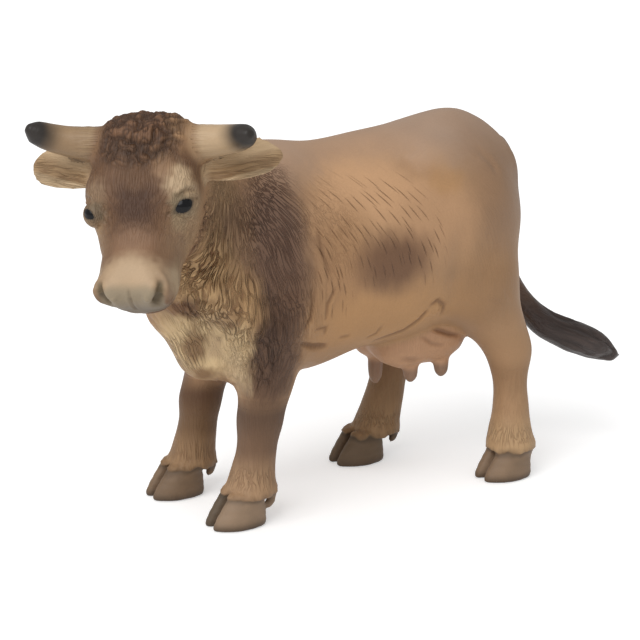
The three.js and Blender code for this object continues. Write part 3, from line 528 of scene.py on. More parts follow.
def put(mesh, name, material, places, colours, comb, hair):
    """Finishes a piece: its places in millimetres go back to metres, and its paint, its comb and the
    strength of its ridges, strokes and tangles of hair onto the mesh."""
    mesh.vertices.foreach_set("co", ((places + body_at) / 1000).ravel())
    free = numbers(mesh.attributes["free"].data, "value", 1)
    small_piece = numbers(mesh.attributes["which"].data, "value", 1)[:, 0]
    roots = linear(root_colours)[np.rint(small_piece).astype(int)]
    colours = np.clip((roots + free * (colours - roots)) * varnish, 0, 1)
    paint = mesh.attributes.new("paint", "FLOAT_COLOR", "POINT")
    paint.data.foreach_set("color", np.column_stack([colours, np.ones(len(colours))]).ravel())
    for kind, values in (("comb", comb), ("hair", np.column_stack(hair))):
        mesh.attributes.new(kind, "FLOAT_VECTOR", "POINT").data.foreach_set("vector", values.ravel())
    for kind in ("outward", "margin", "which", "free"):
        mesh.attributes.remove(mesh.attributes[kind])
    work = bmesh.new()
    work.from_mesh(mesh)
    bmesh.ops.recalc_face_normals(work, faces=work.faces)
    open_edges = [edge for edge in work.edges if edge.is_boundary]
    for face in work.faces:
        face.smooth = True
    if open_edges:
        caps = bmesh.ops.holes_fill(work, edges=open_edges, sides=0)["faces"]
        for face in caps:
            face.smooth = False
            for edge in face.edges:
                edge.smooth = False
    work.to_mesh(mesh)
    work.free()
    put_in_place(mesh, name, material)


def group(name, inputs, outputs):
    """An empty shader node group with named sockets."""
    tree = bpy.data.node_groups.new(name, "ShaderNodeTree")
    for label, kind in inputs:
        tree.interface.new_socket(label, in_out="INPUT", socket_type="NodeSocket" + kind)
    for label, kind in outputs:
        tree.interface.new_socket(label, in_out="OUTPUT", socket_type="NodeSocket" + kind)
    return tree, tree.nodes.new("NodeGroupInput"), tree.nodes.new("NodeGroupOutput")


def node(tree, kind, links=None, **settings):
    """Adds a node, sets its properties, and sets or links its inputs by name or number."""
    made = tree.nodes.new(kind)
    for label, value in settings.items():
        setattr(made, label, value)
    for socket, value in (links or {}).items():
        if isinstance(value, bpy.types.NodeSocket):
            tree.links.new(value, made.inputs[socket])
        else:
            made.inputs[socket].default_value = value
    return made


def maths(tree, operation, *values):
    """A sum of numbers and sockets; its output."""
    return node(tree, "ShaderNodeMath", dict(enumerate(values)), operation=operation).outputs[0]


def vectors(tree, operation, *values):
    return node(tree, "ShaderNodeVectorMath", dict(enumerate(values)), operation=operation).outputs[0]


def band(tree, value, full, none):
    """1 where a value is at full, fading to 0 at none."""
    links = {"Value": value, "From Min": full, "From Max": none, "To Min": 1.0, "To Max": 0.0}
    return node(tree, "ShaderNodeMapRange", links, interpolation_type="SMOOTHSTEP").outputs[0]


# Fine hair: close ridges along the comb, sparse short strokes of a pointed tool, one in each cell, and
# tangles of deep wavy grooves
hair_group, given, result = group(
    "fine_hair", [("Comb", "Vector"), ("Hair", "Vector")], [("Wash", "Float"), ("Height", "Float")]
)
kinds = node(hair_group, "ShaderNodeSeparateXYZ", {0: given.outputs["Hair"]})


def groove(scale, width, distortion):
    """Wavy lines along the comb: how close they lie across and along it, their width and their bends."""
    place = vectors(hair_group, "MULTIPLY", given.outputs["Comb"], scale)
    links = {"Vector": place, "Scale": 1.0, "Detail": 1.0, "Distortion": distortion}
    noise = node(hair_group, "ShaderNodeTexNoise", links)
    from_line = maths(hair_group, "ABSOLUTE", maths(hair_group, "SUBTRACT", noise.outputs[0], 0.5))
    return band(hair_group, from_line, 0.0, width)


ridges = maths(hair_group, "MULTIPLY", groove((1.6, 1.6, 0.1), 0.1, 0.0), kinds.outputs[0])
close_tangle, wide_tangle = groove((1.0, 1.0, 0.14), 0.09, 0.1), groove((0.55, 0.55, 0.1), 0.05, 0.15)
tangle_lines = maths(hair_group, "MAXIMUM", close_tangle, wide_tangle)
tangles = maths(hair_group, "MULTIPLY", tangle_lines, kinds.outputs[2])
cell_place = vectors(hair_group, "MULTIPLY", given.outputs["Comb"], (0.58, 0.0, 0.23))
flat_place = node(hair_group, "ShaderNodeSeparateXYZ", {0: cell_place})
flat_place = node(hair_group, "ShaderNodeCombineXYZ", {0: flat_place.outputs[0], 1: flat_place.outputs[2]})
cell_links = {"Vector": flat_place.outputs[0], "Scale": 1.0, "Randomness": 0.85}
cells = node(hair_group, "ShaderNodeTexVoronoi", cell_links, voronoi_dimensions="2D")
from_middle = vectors(hair_group, "SUBTRACT", flat_place.outputs[0], cells.outputs["Position"])
stroke_radius = vectors(hair_group, "MULTIPLY", from_middle, (9.0, 2.0, 0.0))
stroke_away = node(hair_group, "ShaderNodeVectorMath", {0: stroke_radius}, operation="LENGTH")
stroke_mark = band(hair_group, stroke_away.outputs["Value"], 0.1, 1.0)
stroke = maths(hair_group, "MULTIPLY", stroke_mark, kinds.outputs[1])
thin_tangles = maths(hair_group, "MULTIPLY", maths(hair_group, "POWER", tangles, 1.6), 0.8)
hair_wash = maths(hair_group, "MAXIMUM", maths(hair_group, "MAXIMUM", ridges, thin_tangles), stroke)
hair_group.links.new(hair_wash, result.inputs["Wash"])
deep_tangles = maths(hair_group, "MULTIPLY_ADD", tangles, 1.3, maths(hair_group, "MAXIMUM", ridges, stroke))
hair_group.links.new(maths(hair_group, "MULTIPLY", deep_tangles, -1.0), result.inputs["Height"])

# Sprayed paint: soft drifts of shade and a fine speckle, as an airbrush leaves them
spray_group, given, result = group(
    "sprayed_paint",
    [("Color", "Color"), ("Drift", "Float"), ("Speckle", "Float")],
    [("Color", "Color"), ("Fine", "Float")],
)
place = node(spray_group, "ShaderNodeTexCoord").outputs["Object"]
drift_noise, speck_noise = (
    node(spray_group, "ShaderNodeTexNoise", {"Vector": place, "Scale": scale, "Detail": detail}).outputs[0]
    for scale, detail in ((140.0, 3.0), (2600.0, 1.0))
)
drift_off = maths(spray_group, "SUBTRACT", drift_noise, 0.5)
speck_off = maths(spray_group, "SUBTRACT", speck_noise, 0.5)
drift_part = maths(spray_group, "MULTIPLY", drift_off, given.outputs["Drift"])
speck_part = maths(spray_group, "MULTIPLY_ADD", speck_off, given.outputs["Speckle"], drift_part)
level = maths(spray_group, "ADD", speck_part, 1.0)
shaded_links = {0: given.outputs["Color"], "Scale": level}
shaded = node(spray_group, "ShaderNodeVectorMath", shaded_links, operation="SCALE")
spray_group.links.new(shaded.outputs[0], result.inputs["Color"])
spray_group.links.new(speck_noise, result.inputs["Fine"])
hair_wash_tint = (0.4, 0.29, 0.22, 1)


def painted(name, roughness, dark_share=0.8, drift=0.12, speckle=0.1, hair_depth=0.00028):
    """Painted plastic: the sprayed colours, dark wash in the fine hair, and a semi-matt varnish."""
    material = bpy.data.materials.new(name)
    material.use_nodes = True
    tree = material.node_tree
    shader = tree.nodes["Principled BSDF"]
    paint, comb, kinds = (
        node(tree, "ShaderNodeAttribute", attribute_name=kind) for kind in ("paint", "comb", "hair")
    )
    hair_links = {"Comb": comb.outputs["Vector"], "Hair": kinds.outputs["Vector"]}
    hair = node(tree, "ShaderNodeGroup", hair_links, node_tree=hair_group)
    spray_links = {"Color": paint.outputs["Color"], "Drift": drift, "Speckle": speckle}
    spray = node(tree, "ShaderNodeGroup", spray_links, node_tree=spray_group)
    dark = maths(tree, "MULTIPLY", hair.outputs["Wash"], dark_share)
    wash_links = {0: dark, 6: spray.outputs["Color"], 7: hair_wash_tint}
    colour = node(tree, "ShaderNodeMix", wash_links, data_type="RGBA", blend_type="MULTIPLY")
    tree.links.new(colour.outputs[2], shader.inputs["Base Color"])
    fine = maths(tree, "MULTIPLY_ADD", spray.outputs["Fine"], 0.12, hair.outputs["Height"])
    bump = node(tree, "ShaderNodeBump", {"Height": fine, "Distance": hair_depth, "Strength": 1.0})
    tree.links.new(bump.outputs[0], shader.inputs["Normal"])
    shader.inputs["Roughness"].default_value = roughness
    shader.inputs["Specular IOR Level"].default_value = 0.35
    return material


hide_paint = painted("painted_hide", 0.52)
mesh = sawn_off("trunk", 0)
places, ways, free = read_back(mesh)
height, wash, comb, hair = body_relief(places, ways)
colours = body_colours(places, wash)
places += ways * (height * free)[:, None]
put(mesh, "trunk", hide_paint, places, colours, comb, hair)


# Head: one moulding from the neck line on, turned to the cow's left. Its own frame runs from the poll along
# the face, across to its left, and out of the forehead, as in the CAD.
poll_at = np.array([-52.688, -15.327, 81.586])
head_frame = (
    Matrix.Rotation(math.radians(53.5), 3, "Z")
    @ Matrix.Rotation(math.radians(-57), 3, "Y")
    @ Matrix.Rotation(math.radians(-5), 3, "X")
    @ Matrix.Diagonal((-1, -1, 1))
)
head_axes = np.array(head_frame)
eye_middle = np.array([14.98, 7.54, -4.51])
eye_lean = -0.63  # the left eye is this much higher, and the right one lower
eye_radius = 2.3
eye_out = np.array([0.33, 0.44, 0.84])
eye_long = np.array([-0.645, 0.746, -0.16])
lid_half_long, lid_half_short, lid_thickness = 1.6, 0.98, 0.13
far_lid_share = 0.72  # the far eye opens less
poll_middle, poll_reach = [1.8, 0, -3.5], [8, 9.5, 8]
face_flat = (1, 1, 0.7)
# Folds of the face on its left, which the right side repeats, and those of the right side alone
head_folds = [
    ([(14.3, 7.2, -1.9), (13.3, 8.4, -2.1), (12.6, 9.2, -2.7), (12.2, 10, -3.9)], 0.4, 0.5),
    ([(17.4, 6.4, -3.4), (17.3, 7.2, -4.8), (17.1, 8, -5.8)], 0.3, 0.25),
    ([(16.7, 6.1, -2.9), (17.4, 5.3, -2.9)], 0.3, 0.3),
    ([(13.8, 9.4, -4.4), (13, 10.1, -5.4)], 0.35, 0.4),
    ([(28.6, 5.5, -2.2), (30.4, 5.4, -2.5), (31.4, 4.9, -3.6), (31.8, 4.2, -5)], 0.6, 0.5),
    ([(30, 5.4, -2.4), (31.5, 4.8, -3.8), (32, 3.9, -5.2)], 0.95, 0.5),
    ([(31.6, 3, -2.9), (31.9, 2.8, -4)], 0.6, -0.3),
    ([(26.9, 5.0, -2.2), (28.3, 5.9, -2.6), (29.8, 6.3, -3), (30.8, 5.8, -5.5)], 0.5, -0.28),
    ([(30.4, 0, -2.5), (31.6, 0, -4), (32, 0, -7.6)], 0.28, 0.35),
    ([(33, 0, -10.2), (31, 4.5, -10.4), (27, 6.9, -10.6), (23, 7, -10.9), (20.5, 6.2, -11.2)], 0.38, 0.6),
    ([(27, 6.6, -9), (24.5, 7.1, -8.2), (22.5, 6.6, -7.4)], 0.9, 0.25),
    ([(21.5, 4.8, -3.2), (25.2, 4.6, -2)], 1.2, 0.18),
    ([(17.5, 8.8, -8), (19, 7.1, -11.4), (20, 5.8, -14)], 1.3, 0.35),
]
nostril_folds = head_folds[4:6]
far_folds = [
    ([(13.8, -8.2, -2.5), (15.1, -7.2, -2.2), (15.6, -6.4, -2.4), (16.2, -5.7, -2.6), (17, -5.1, -2.7),
      (18, -4.9, -3)], 0.35, -0.35),
    ([(15.4, -6, -2.4), (16.4, -5.2, -2.7)], 0.3, 0.2),
]


def in_head(places):
    return (places - poll_at) @ head_axes


def both_sides(spots):
    """Folds the head's right half over onto its left half, with the eyes level."""
    folded = spots.copy()
    down, across = spots[:, 0], spots[:, 1]
    folded[:, 0] -= eye_lean * np.sign(across) * fade(np.abs(across), 3, 6) * fade(down, 26, 19)
    folded[:, 1] = np.abs(across)
    return folded


def lidded(spots):
    """Skin drawn over the eyeballs, open where the eye looks out, and its share of the lids' dark edge."""
    out = eye_out / np.linalg.norm(eye_out)
    long = eye_long - out * (eye_long @ out)
    long /= np.linalg.norm(long)
    short = np.cross(out, long)
    edge = np.zeros(len(spots))
    for side, share in ((1, 1), (-1, far_lid_share)):
        flip = np.array([1, side, 1])
        middle = eye_middle + [eye_lean * side, 0, 0]
        arm = spots * flip - middle
        distance = np.linalg.norm(arm, axis=1)
        close_by = np.flatnonzero((distance < 5.5) & (arm @ out > 0))
        arm, distance = arm[close_by], distance[close_by]
        ray = arm / distance[:, None]
        u = ray @ long * eye_radius / lid_half_long / share
        v = ray @ short * eye_radius / lid_half_short / share
        opening = np.hypot(u, np.abs(v) * (1 + 0.35 * u * u))
        over_ball = np.maximum(distance, eye_radius + lid_thickness)
        radius = eye_radius - 0.45 + (over_ball - eye_radius + 0.45) * fade(opening, 0.92, 1.06)
        radius = distance + fade(ray @ out, 0.05, 0.2) * (radius - distance)
        spots[close_by] = (ray * radius[:, None] + middle) * flip
        edge[close_by] = fade(opening, 1.45, 1.0)
    return spots, edge


def curls(spots):
    """Soft curls of the poll: ridges of noise that is folded by more noise."""
    bent = spots + 1.5 * np.stack([grain(spots, 3, seed) for seed in (21, 22, 23)], 1)
    return np.abs(grain(bent, 2.5, 24)) / 0.4, np.abs(grain(bent, 1.2, 25)) / 0.4


face_sprays = [
    ((16.6, 8.5, -10), (10, 5, 9), (174, 144, 112), 0.88),
    ((16, 0, -1), (7, 4, 5), (74, 50, 36), 0.9),
    ((9, 0, 0), (4, 3, 4), (106, 77, 54), 0.7),
    ((22, 0, -2), (4, 6, 4), (138, 106, 82), 0.85),
    ((22, 6, -6), (4, 3, 5), (130, 103, 80), 0.6),
    ((28.6, 0, -2), (5.4, 8, 6), (184, 158, 130), 0.98),
    ((27, 8, -7), (4, 3, 5), (180, 160, 134), 0.85),
    ((1.5, 0, -3), (6.5, 9, 7), (118, 86, 64), 0.98),
    ((5, 0, 0), (3, 6, 3), (104, 76, 55), 0.8),
    ((24, 0, -14), (8, 6, 4), (150, 128, 104), 0.6),
]
# Those that are not alike on both sides of the face
side_sprays = [
    ((11, 7.2, -1.5), (3.8, 3.4, 4), (198, 173, 143), 0.92),
    ((14.3, 9.6, -4), (4, 2.6, 4), (172, 150, 122), 0.7),
    ((15.3, 7.6, -2.4), (2.9, 2.4, 2.8), (128, 114, 92), 0.85),
    ((17.2, 7.6, -4.6), (2.2, 2, 2.4), (150, 130, 104), 0.7),
    ((8.5, 4.6, 0), (3.6, 2.6, 3), (150, 118, 90), 0.8),
    ((1, 7.5, -3), (4.5, 3.6, 5), (172, 136, 102), 0.9),
    ((12.5, -7.4, -1.6), (2.6, 2.2, 3), (150, 126, 102), 0.6),
    ((15.6, -7.6, -2.6), (2.6, 2.2, 2.6), (112, 98, 80), 0.8),
]
nose_grey = (152, 138, 118)
nose_low = (114, 102, 87)
nostril_brown = (112, 98, 76)
lid_brown = (62, 52, 42)
face_brown = (108, 79, 57)

face_paint = painted("painted_face", 0.55)
mesh = sawn_off("head", 1)
places, ways, free = read_back(mesh)
height, wash, comb, hair = body_relief(places, ways)
spots = in_head(places)
folded = both_sides(spots)
on_face = fade((places - neck_at) @ neck_normal, -1.5, -8) * fade(spots[:, 2], -24, -16)
on_poll = fade(np.linalg.norm((folded - poll_middle) / poll_reach, axis=1), 1.1, 0.75)
on_poll *= fade(folded[:, 1], 10.5, 7)
pad_edge = 29.7 + 0.9 * fade(folded[:, 1], 3, 5.5) * fade(folded[:, 1], 6.5, 5) + 0.2 * grain(spots, 2, 29)
nose_pad = fade(spots[:, 0], pad_edge - 0.8, pad_edge + 1.2) * fade(folded[:, 1], 6, 5.2)
nose_pad *= fade(spots[:, 2], -10.4, -9.6)
big_curl, small_curl = curls(spots)
creases = creased(folded, head_folds, face_flat) + creased(spots, far_folds, face_flat)
face_comb = np.stack([folded[:, 1] + 0.5 * grain(spots, 4, 26), spots[:, 2], spots[:, 0]], 1)
face_strands = locks(face_comb, 0.95, 5, 27)
face_coat = (0.22 * fade(spots[:, 0], 26, 18) + 0.15 * fade(folded[:, 1], 6, 9)) * (1 - nose_pad)
face_coat *= 1 - fade(folded[:, 1], 6, 8) * fade(spots[:, 0], 8, 5)
head_height = -face_coat * 0.08 * face_strands + creases
head_height += on_poll * (0.7 * np.minimum(big_curl, 1) + 0.3 * np.minimum(small_curl, 1) - 0.4)
height = height * (1 - on_face) + head_height * on_face
poll_wash = on_poll * np.clip(1 - np.minimum(big_curl * 1.5, small_curl * 2), 0, 1)
head_wash = np.clip(face_coat * face_strands * 0.3 + poll_wash + np.clip(-1.6 * creases, 0, 1) * 0.6, 0, 1)
wash = wash * (1 - on_face) + head_wash * on_face
face_hair = np.stack([face_coat * (1 - on_poll) + 0.25 * on_poll, 0 * on_poll, 0.1 * on_poll])
hair = hair + on_face * (face_hair - hair)
comb = comb + (face_comb * [1.4, 1.4, 1] - comb) * (on_face > 0.5)[:, None]
colours = body_colours(places, wash * (1 - on_face))
face = np.tile(linear(face_brown), (len(places), 1))
face = sprayed(spots, sprayed(folded, face, face_sprays), side_sprays)
pad = tinted(linear(nose_grey), fade(spots[:, 2], -3, -8), nose_low)
face = face + 0.95 * nose_pad[:, None] * (pad - face)
in_nostril = creased(folded, nostril_folds, face_flat)
face = tinted(face, np.clip(-2.2 * in_nostril, 0, 0.95), nostril_brown)
face = washed(face * (1 + 0.05 * grain(places, 3, 28)[:, None]), head_wash)
# The gaps between the poll's curls are darkened by wash, and the curls' tops are lightened by a painted
# highlight
face *= (1 - 0.4 * poll_wash + 0.15 * on_poll * fade(big_curl, 0.5, 1.2))[:, None]
colours = colours + on_face[:, None] * (face - colours)
spots, lid_edge = lidded(in_head(places + ways * (height * free)[:, None]))
colours = tinted(colours, 0.8 * lid_edge, lid_brown)
put(mesh, "head", face_paint, spots @ head_axes.T + poll_at, colours, comb, hair)

# Lower legs: moulded with knee or hock, fetlock and cloven hoof, each plugged under the body. A fringe of
# hair overhangs the hoof, and two dewclaws hang behind it. Hooves are taupe, darker at the sole and cleft.
leg_paint = painted("painted_leg", 0.57)
# The middle of each hoof along and across, and the colours down the leg: top, middle, above the fetlock,
# and the hoof
# The far legs, on the cow's right, are coloured darker than the near ones, most of all at the hoof: painted
# shade
leg_rows_far_ones_shaded = {
    "front_left_leg": (-30.82, -8.65, (96, 72, 55), (116, 89, 69), (168, 136, 106), (142, 120, 100)),
    "front_right_leg": (-33.3, 12.51, (94, 66, 44), (112, 84, 58), (152, 121, 90), (122, 100, 80)),
    "hind_left_leg": (30.18, -14.17, (154, 120, 89), (166, 132, 100), (184, 152, 117), (134, 112, 92)),
    "hind_right_leg": (9.29, 10.3, (134, 102, 72), (140, 110, 80), (150, 120, 88), (104, 86, 68)),
}
hoof_dark, inner_claw_dark = (84, 68, 54), (80, 68, 55)
fringe_z = 6.1
coat_depth, fringe_depth, fringe_swell, cleft_depth, ring_depth = 0.12, 0.16, 0.4, 0.2, 0.05
for name, (hoof_x, hoof_y, top, middle, low, hoof) in leg_rows_far_ones_shaded.items():
    mesh = sawn_off(name, 1)
    places, ways, free = read_back(mesh)
    height, wash, comb, hair = body_relief(places, ways)
    x, y, z = places.T
    on_leg = fade(z, 26, 21)
    ragged = fringe_z + 1.1 * grain(places, 2.6, 31) + 0.4 * grain(places, 1.3, 32)
    over_hoof = fade(z, ragged - 0.2, ragged + 0.2)
    fringe = over_hoof * fade(z, ragged + 3.2, ragged)
    leg_comb = np.stack([x + 0.4 * grain(places, 4, 33), y + 0.4 * grain(places, 4, 34), z], 1)
    leg_strands = locks(leg_comb, 1.1, 6, 35)
    fringe_strands = locks(leg_comb, 1.8, 4, 36)
    leg_coat = over_hoof * (0.12 + 0.3 * fade(z, 13, 10) * fade(z, 7, 9))
    leg_height = -coat_depth * leg_coat * leg_strands - fringe_depth * fringe * fringe_strands
    leg_height += fringe_swell * fringe
    cleft_gap = np.abs(y - hoof_y)
    in_front = fade(-(x - hoof_x), 0.5, 3.5)
    cleft = np.exp(-((cleft_gap / 0.3) ** 2)) * in_front * fade(z, ragged + 1.2, ragged - 1.2)
    leg_height -= cleft_depth * cleft
    leg_height -= ring_depth * (1 - over_hoof) * (0.5 + 0.5 * np.sin(z * 4.2 + 1.5 * grain(places, 4, 37)))
    leg_wash = 0.35 * leg_coat * leg_strands + 0.4 * fringe * fringe_strands * fade(z, ragged + 1.8, ragged)
    leg_wash = np.clip(leg_wash + 0.8 * cleft, 0, 1)
    height = height * (1 - on_leg) + leg_height * on_leg
    wash = wash * (1 - on_leg) + leg_wash * on_leg
    colours = body_colours(places, wash * (1 - on_leg))
    down = np.clip((24 - z) / 24, 0, 1)
    leg = tinted(linear(top), fade(down, 0.05, 0.35), middle)
    leg = tinted(leg, fade(down, 0.35, 0.62), low)
    # The fringe's lowest edge is darkened: painted shade on its underside
    fringe_underside_shade = (fade(z, ragged + 1.2, ragged - 0.1) * 0.25)[:, None]
    leg = leg * (1 - fringe_underside_shade)
    claws = tinted(linear(hoof), fade(z, 2.2, 0.1), hoof_dark)
    if name == "front_left_leg":
        claws = tinted(claws, 0.8 * fade(y, hoof_y - 0.3, hoof_y + 0.5), inner_claw_dark)
    claws *= 1 + 0.18 * grain(places, 2.6, 39)[:, None]
    # The hoof's top, under the overhanging fringe, is darkened: painted shade
    hoof_top_shade = (fade(z, ragged - 1.3, ragged - 0.1) * 0.4)[:, None]
    claws = claws * (1 - hoof_top_shade)
    leg = claws + (leg - claws) * over_hoof[:, None]
    leg = washed(leg * (1 + 0.06 * grain(places, 3, 38)[:, None]), leg_wash)
    colours = colours + fade(z, 27, 22)[:, None] * (leg - colours)
    hair = hair + on_leg * (np.stack([leg_coat, 0 * z, 0 * z]) - hair)
    comb = comb + (leg_comb - comb) * (on_leg > 0.5)[:, None]
    places += ways * (height * free)[:, None]
    places[:, 2] = np.maximum(places[:, 2], 0)
    put(mesh, name, leg_paint, places, colours, comb, hair)


# Eyes: round beads of black plastic, pressed into the head before the lids are painted. They are the
# glossiest part of the figure.
eye_gloss = bpy.data.materials.new("black_eye")
eye_gloss.use_nodes = True
tree = eye_gloss.node_tree
shader = tree.nodes["Principled BSDF"]
place = node(tree, "ShaderNodeTexCoord").outputs["Object"]
iris_noise = node(tree, "ShaderNodeTexNoise", {"Vector": place, "Scale": 900.0, "Detail": 2.0})
iris_links = {0: iris_noise.outputs[0], 6: (0.003, 0.003, 0.004, 1), 7: (0.01, 0.01, 0.011, 1)}
iris = node(tree, "ShaderNodeMix", iris_links, data_type="RGBA")
tree.links.new(iris.outputs[2], shader.inputs["Base Color"])
shader.inputs["Roughness"].default_value = 0.16
shader.inputs["Specular IOR Level"].default_value = 0.22
for side, name in ((1, "left_eye"), (-1, "right_eye")):
    bead = bmesh.new()
    bmesh.ops.create_uvsphere(bead, u_segments=40, v_segments=28, radius=eye_radius / 1000)
    centre = ((eye_middle + [eye_lean * side, 0, 0]) * [1, side, 1]) @ head_axes.T + poll_at + body_at
    look_out = Vector((eye_out * [1, side, 1]) @ head_axes.T).normalized()
    for vert in bead.verts:
        bulge = max(vert.co.normalized().dot(look_out), 0) ** 6
        vert.co *= 1 + 0.05 * bulge
    bmesh.ops.translate(bead, vec=Vector(centre) / 1000, verts=bead.verts)
    for face in bead.faces:
        face.smooth = True
    put_in_place(as_mesh(name, bead), name, eye_gloss)


# Horns and ears: plugged into the head. Horns are smooth cream with sprayed black tips; ears are open cups
# with combed hair inside and a soft pale rim.
horn_tip = [2.4, 20.4, 2.4]
# The far horn's darker cream is painted shade
horn_creams_far_one_shaded = {1: (188, 162, 132), -1: (152, 126, 98)}  # the far horn is the darker one
horn_root, horn_black = (166, 140, 110), (46, 41, 38)
ear_back, ear_cup, ear_low = (176, 148, 118), (192, 166, 134), (158, 128, 94)
ear_rim, ear_tip = (206, 182, 150), (150, 120, 96)
horn_paint = painted("painted_horn", 0.45)
ear_paint = painted("painted_ear", 0.58)
for side, word in ((1, "left"), (-1, "right")):
    name = f"{word}_horn"
    mesh = sawn_off(name, 1)
    places, ways, free = read_back(mesh)
    spots = in_head(places) * [1, side, 1]
    reach = spots[:, 1]
    height = 0.04 * np.sin(reach * 3.2 + 1.2 * grain(places, 3, 41)) * fade(reach, 14, 9) * free
    from_tip = np.linalg.norm(spots - horn_tip, axis=1) + 0.5 * grain(places, 2, 42)
    colours = tinted(linear(horn_creams_far_one_shaded[side]), 0.65 * fade(reach, 12, 7), horn_root)
    colours = tinted(colours, fade(from_tip, 8.2, 3.6), horn_black)
    colours = colours * (1 + 0.05 * grain(places, 2.5, 43)[:, None])
    comb = np.stack([spots[:, 0], spots[:, 2], spots[:, 1]], 1)
    hair = np.stack([0.25 * fade(reach, 14, 8), 0 * reach, 0 * reach])
    put(mesh, name, horn_paint, places + ways * height[:, None], colours, comb, hair)
    name = f"{word}_ear"
    mesh = sawn_off(name, 1)
    places, ways, free = read_back(mesh)
    spots = in_head(places) * [1, side, 1]
    reach = spots[:, 1]
    inside = fade(ways @ (head_axes @ np.array([0.05, 0, 1])), 0.1, 0.6) * fade(reach, 9, 12)
    ear_across = spots[:, 0] + 0.28 * (reach - 9) + 0.3 * grain(places, 3, 44)
    ear_comb = np.stack([ear_across, spots[:, 2] * 0.4, reach], 1)
    streaks = locks(ear_comb, 1.1, 7, 45)
    low_half = fade(spots[:, 0] - 5.3 + 0.49 * (reach - 12), -0.6, 1.8)
    height = -0.16 * inside * streaks * low_half * free
    wash = np.clip(inside * streaks * low_half * 0.6, 0, 1)
    colours = tinted(linear(ear_back), inside * 0.9, ear_cup)
    colours = tinted(colours, inside * low_half * 0.8, ear_low)
    colours = tinted(colours, fade(spots[:, 0] - 8 + 0.42 * (reach - 13), -0.2, 0.5) * 0.8, ear_rim)
    colours = tinted(colours, fade(reach, 22.5, 24.5) * 0.5, ear_tip)
    colours = washed(colours * (1 + 0.05 * grain(places, 2, 46)[:, None]), wash)
    hair = np.stack([0.1 + 0.3 * inside * low_half, 0 * reach, 0 * reach])
    put(mesh, name, ear_paint, places + ways * height[:, None], colours, ear_comb, hair)

# Udder: a bag of bare skin with four teats, plugged under the belly. Its folds are pressed in where it
# leaves the body, and pinkish paint fades to grey-lilac teats.
udder_folds = [
    ([(9.9, -11, 36.2), (13.5, -10.5, 34), (16.2, -9.3, 32.6), (19.3, -9.1, 31.3), (22, -8, 30.5)],
     0.55, 0.5),
    ([(12, -9, 32), (15, -9.4, 29.8), (18, -9, 29)], 0.5, 0.2),
    ([(8, -8, 27.5), (12, -9.5, 26.5)], 0.8, 0.2),
]
udder_pink, teat_grey, udder_back = (190, 148, 116), (128, 104, 90), (150, 118, 94)
udder_paint = painted("painted_udder", 0.5, speckle=0.08)
mesh = sawn_off("udder", 1)
places, ways, free = read_back(mesh)
udder_creases = creased(near_side(places), udder_folds, body_flat)
height = (udder_creases + 0.12 * grain(places, 4, 51)) * free
wash = np.clip(-3 * udder_creases, 0, 1)
colours = tinted(linear(udder_pink), 0.75 * fade(places[:, 2], 25.2, 23.4), teat_grey)
colours = tinted(colours, 0.5 * fade(places[:, 0], 21, 26), udder_back)
colours = washed(colours * (1 + 0.06 * grain(places, 3, 52)[:, None]), wash)
hair = np.tile([[0.1], [0], [0]], len(places))
put(mesh, "udder", udder_paint, places + ways * height[:, None], colours, places, hair)

# Tail: plugged into the rump, moulded against it, and swung out to a brush of long locks. Brown at the root
# and sprayed near black towards the tip.
tail_brown, tail_dark, tail_under = (100, 74, 56), (58, 43, 38), (150, 118, 82)
brush_black, brush_backs = (60, 49, 46), (78, 64, 60)
tail_paint = painted("painted_tail", 0.36)
mesh = sawn_off("tail", 1)
places, ways, free = read_back(mesh)
brush = fade(places[:, 0], 45, 51)
slope = np.array([0.84, -0.29, -0.46])
across = np.cross(slope, [0, 0, 1])
across /= np.linalg.norm(across)
upright = np.cross(across, slope)
wave = 0.5 * grain(places, 5, 61)
tail_comb = np.stack([places @ across + wave, places @ upright + wave, places @ slope], 1)
big_locks = locks(tail_comb, 3.2, 18, 62)
fine_locks = locks(tail_comb, 1.1, 9, 63)
height = -brush * (0.5 * big_locks + 0.06 * fine_locks)
colours = body_colours(places, 0 * brush)
colours = tinted(colours, fade(places[:, 2], 58, 46), tail_brown)
colours = tinted(colours, fade(places[:, 2], 40, 30), tail_dark)
colours = tinted(colours, brush, brush_black)
colours = tinted(colours, 0.45 * brush * (1 - fine_locks), brush_backs)
under = fade(ways[:, 2], -0.1, -0.6) * fade(places[:, 2], 28, 34) * fade(places[:, 0], 41, 45) * (1 - brush)
colours = tinted(colours, 0.8 * under, tail_under)
wash = np.clip(brush * (0.6 * big_locks + 0.4 * fine_locks), 0, 1)
colours = washed(colours, wash)
hair = np.stack([0.25 - 0.1 * brush, 0 * brush, 0 * brush])
put(mesh, "tail", tail_paint, places + ways * height[:, None], colours, tail_comb, hair)
whole.free()

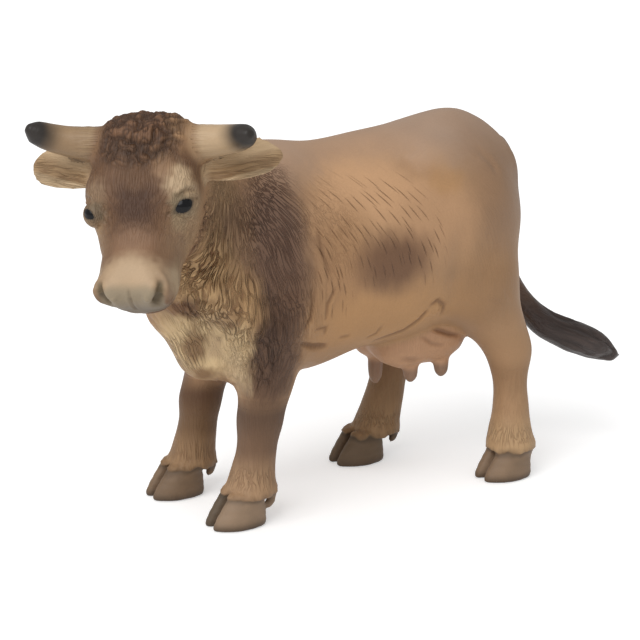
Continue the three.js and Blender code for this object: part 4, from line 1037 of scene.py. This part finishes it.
# Table, light and camera: a plain pale floor that stays white and keeps a soft shadow, a large soft light
# from the upper left with an even fill all round, and the photograph's viewpoint.
floor_paint = bpy.data.materials.new("pale_floor")
floor_paint.use_nodes = True
tree = floor_paint.node_tree
tree.nodes.remove(tree.nodes["Principled BSDF"])
diffuse = node(tree, "ShaderNodeBsdfDiffuse", {"Color": (0.86, 0.86, 0.86, 1)})
rays = node(tree, "ShaderNodeLightPath")
seen = maths(tree, "MAXIMUM", rays.outputs["Is Camera Ray"], rays.outputs["Is Glossy Ray"])
glow_strength = maths(tree, "MULTIPLY", seen, 0.4)
glow = node(tree, "ShaderNodeEmission", {"Color": (1, 1, 1, 1), "Strength": glow_strength})
both = node(tree, "ShaderNodeAddShader", {0: diffuse.outputs[0], 1: glow.outputs[0]})
tree.links.new(both.outputs[0], tree.nodes["Material Output"].inputs["Surface"])
sheet = bmesh.new()
bmesh.ops.create_grid(sheet, x_segments=4, y_segments=4, size=3)
mesh = as_mesh("floor", sheet)
mesh.materials.append(floor_paint)
new_object("floor", mesh)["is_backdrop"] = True

world = bpy.data.worlds.new("studio")
world.use_nodes = True
bpy.context.scene.world = world
tree = world.node_tree
sky = tree.nodes["Background"]
sky.inputs["Color"].default_value = (1, 1, 1, 1)
rays = node(tree, "ShaderNodeLightPath")
seen = maths(tree, "MAXIMUM", rays.outputs["Is Camera Ray"], rays.outputs["Is Transmission Ray"])
strength = node(tree, "ShaderNodeMapRange", {"Value": seen, "To Min": 0.52, "To Max": 1.0})
tree.links.new(strength.outputs[0], sky.inputs["Strength"])

sun = bpy.data.lights.new("key", "SUN")
sun.energy = 1.75
sun.angle = math.radians(50)
new_object("key", sun).rotation_euler = Vector((0.72, 0.34, -0.82)).to_track_quat("-Z", "Y").to_euler()

camera_at = Vector((-0.181063, -0.279119, 0.12502))
camera_target = Vector((-0.005143, 0.006001, 0.03576))
camera = bpy.data.cameras.new("camera")
camera.lens = 96.82
camera.sensor_width = 36
camera.clip_start = 0.01
holder = new_object("camera", camera)
holder.location = camera_at
holder.rotation_euler = (camera_target - camera_at).to_track_quat("-Z", "Y").to_euler()
bpy.context.scene.camera = holder
bpy.context.scene.view_settings.view_transform = "Standard"

low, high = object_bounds()
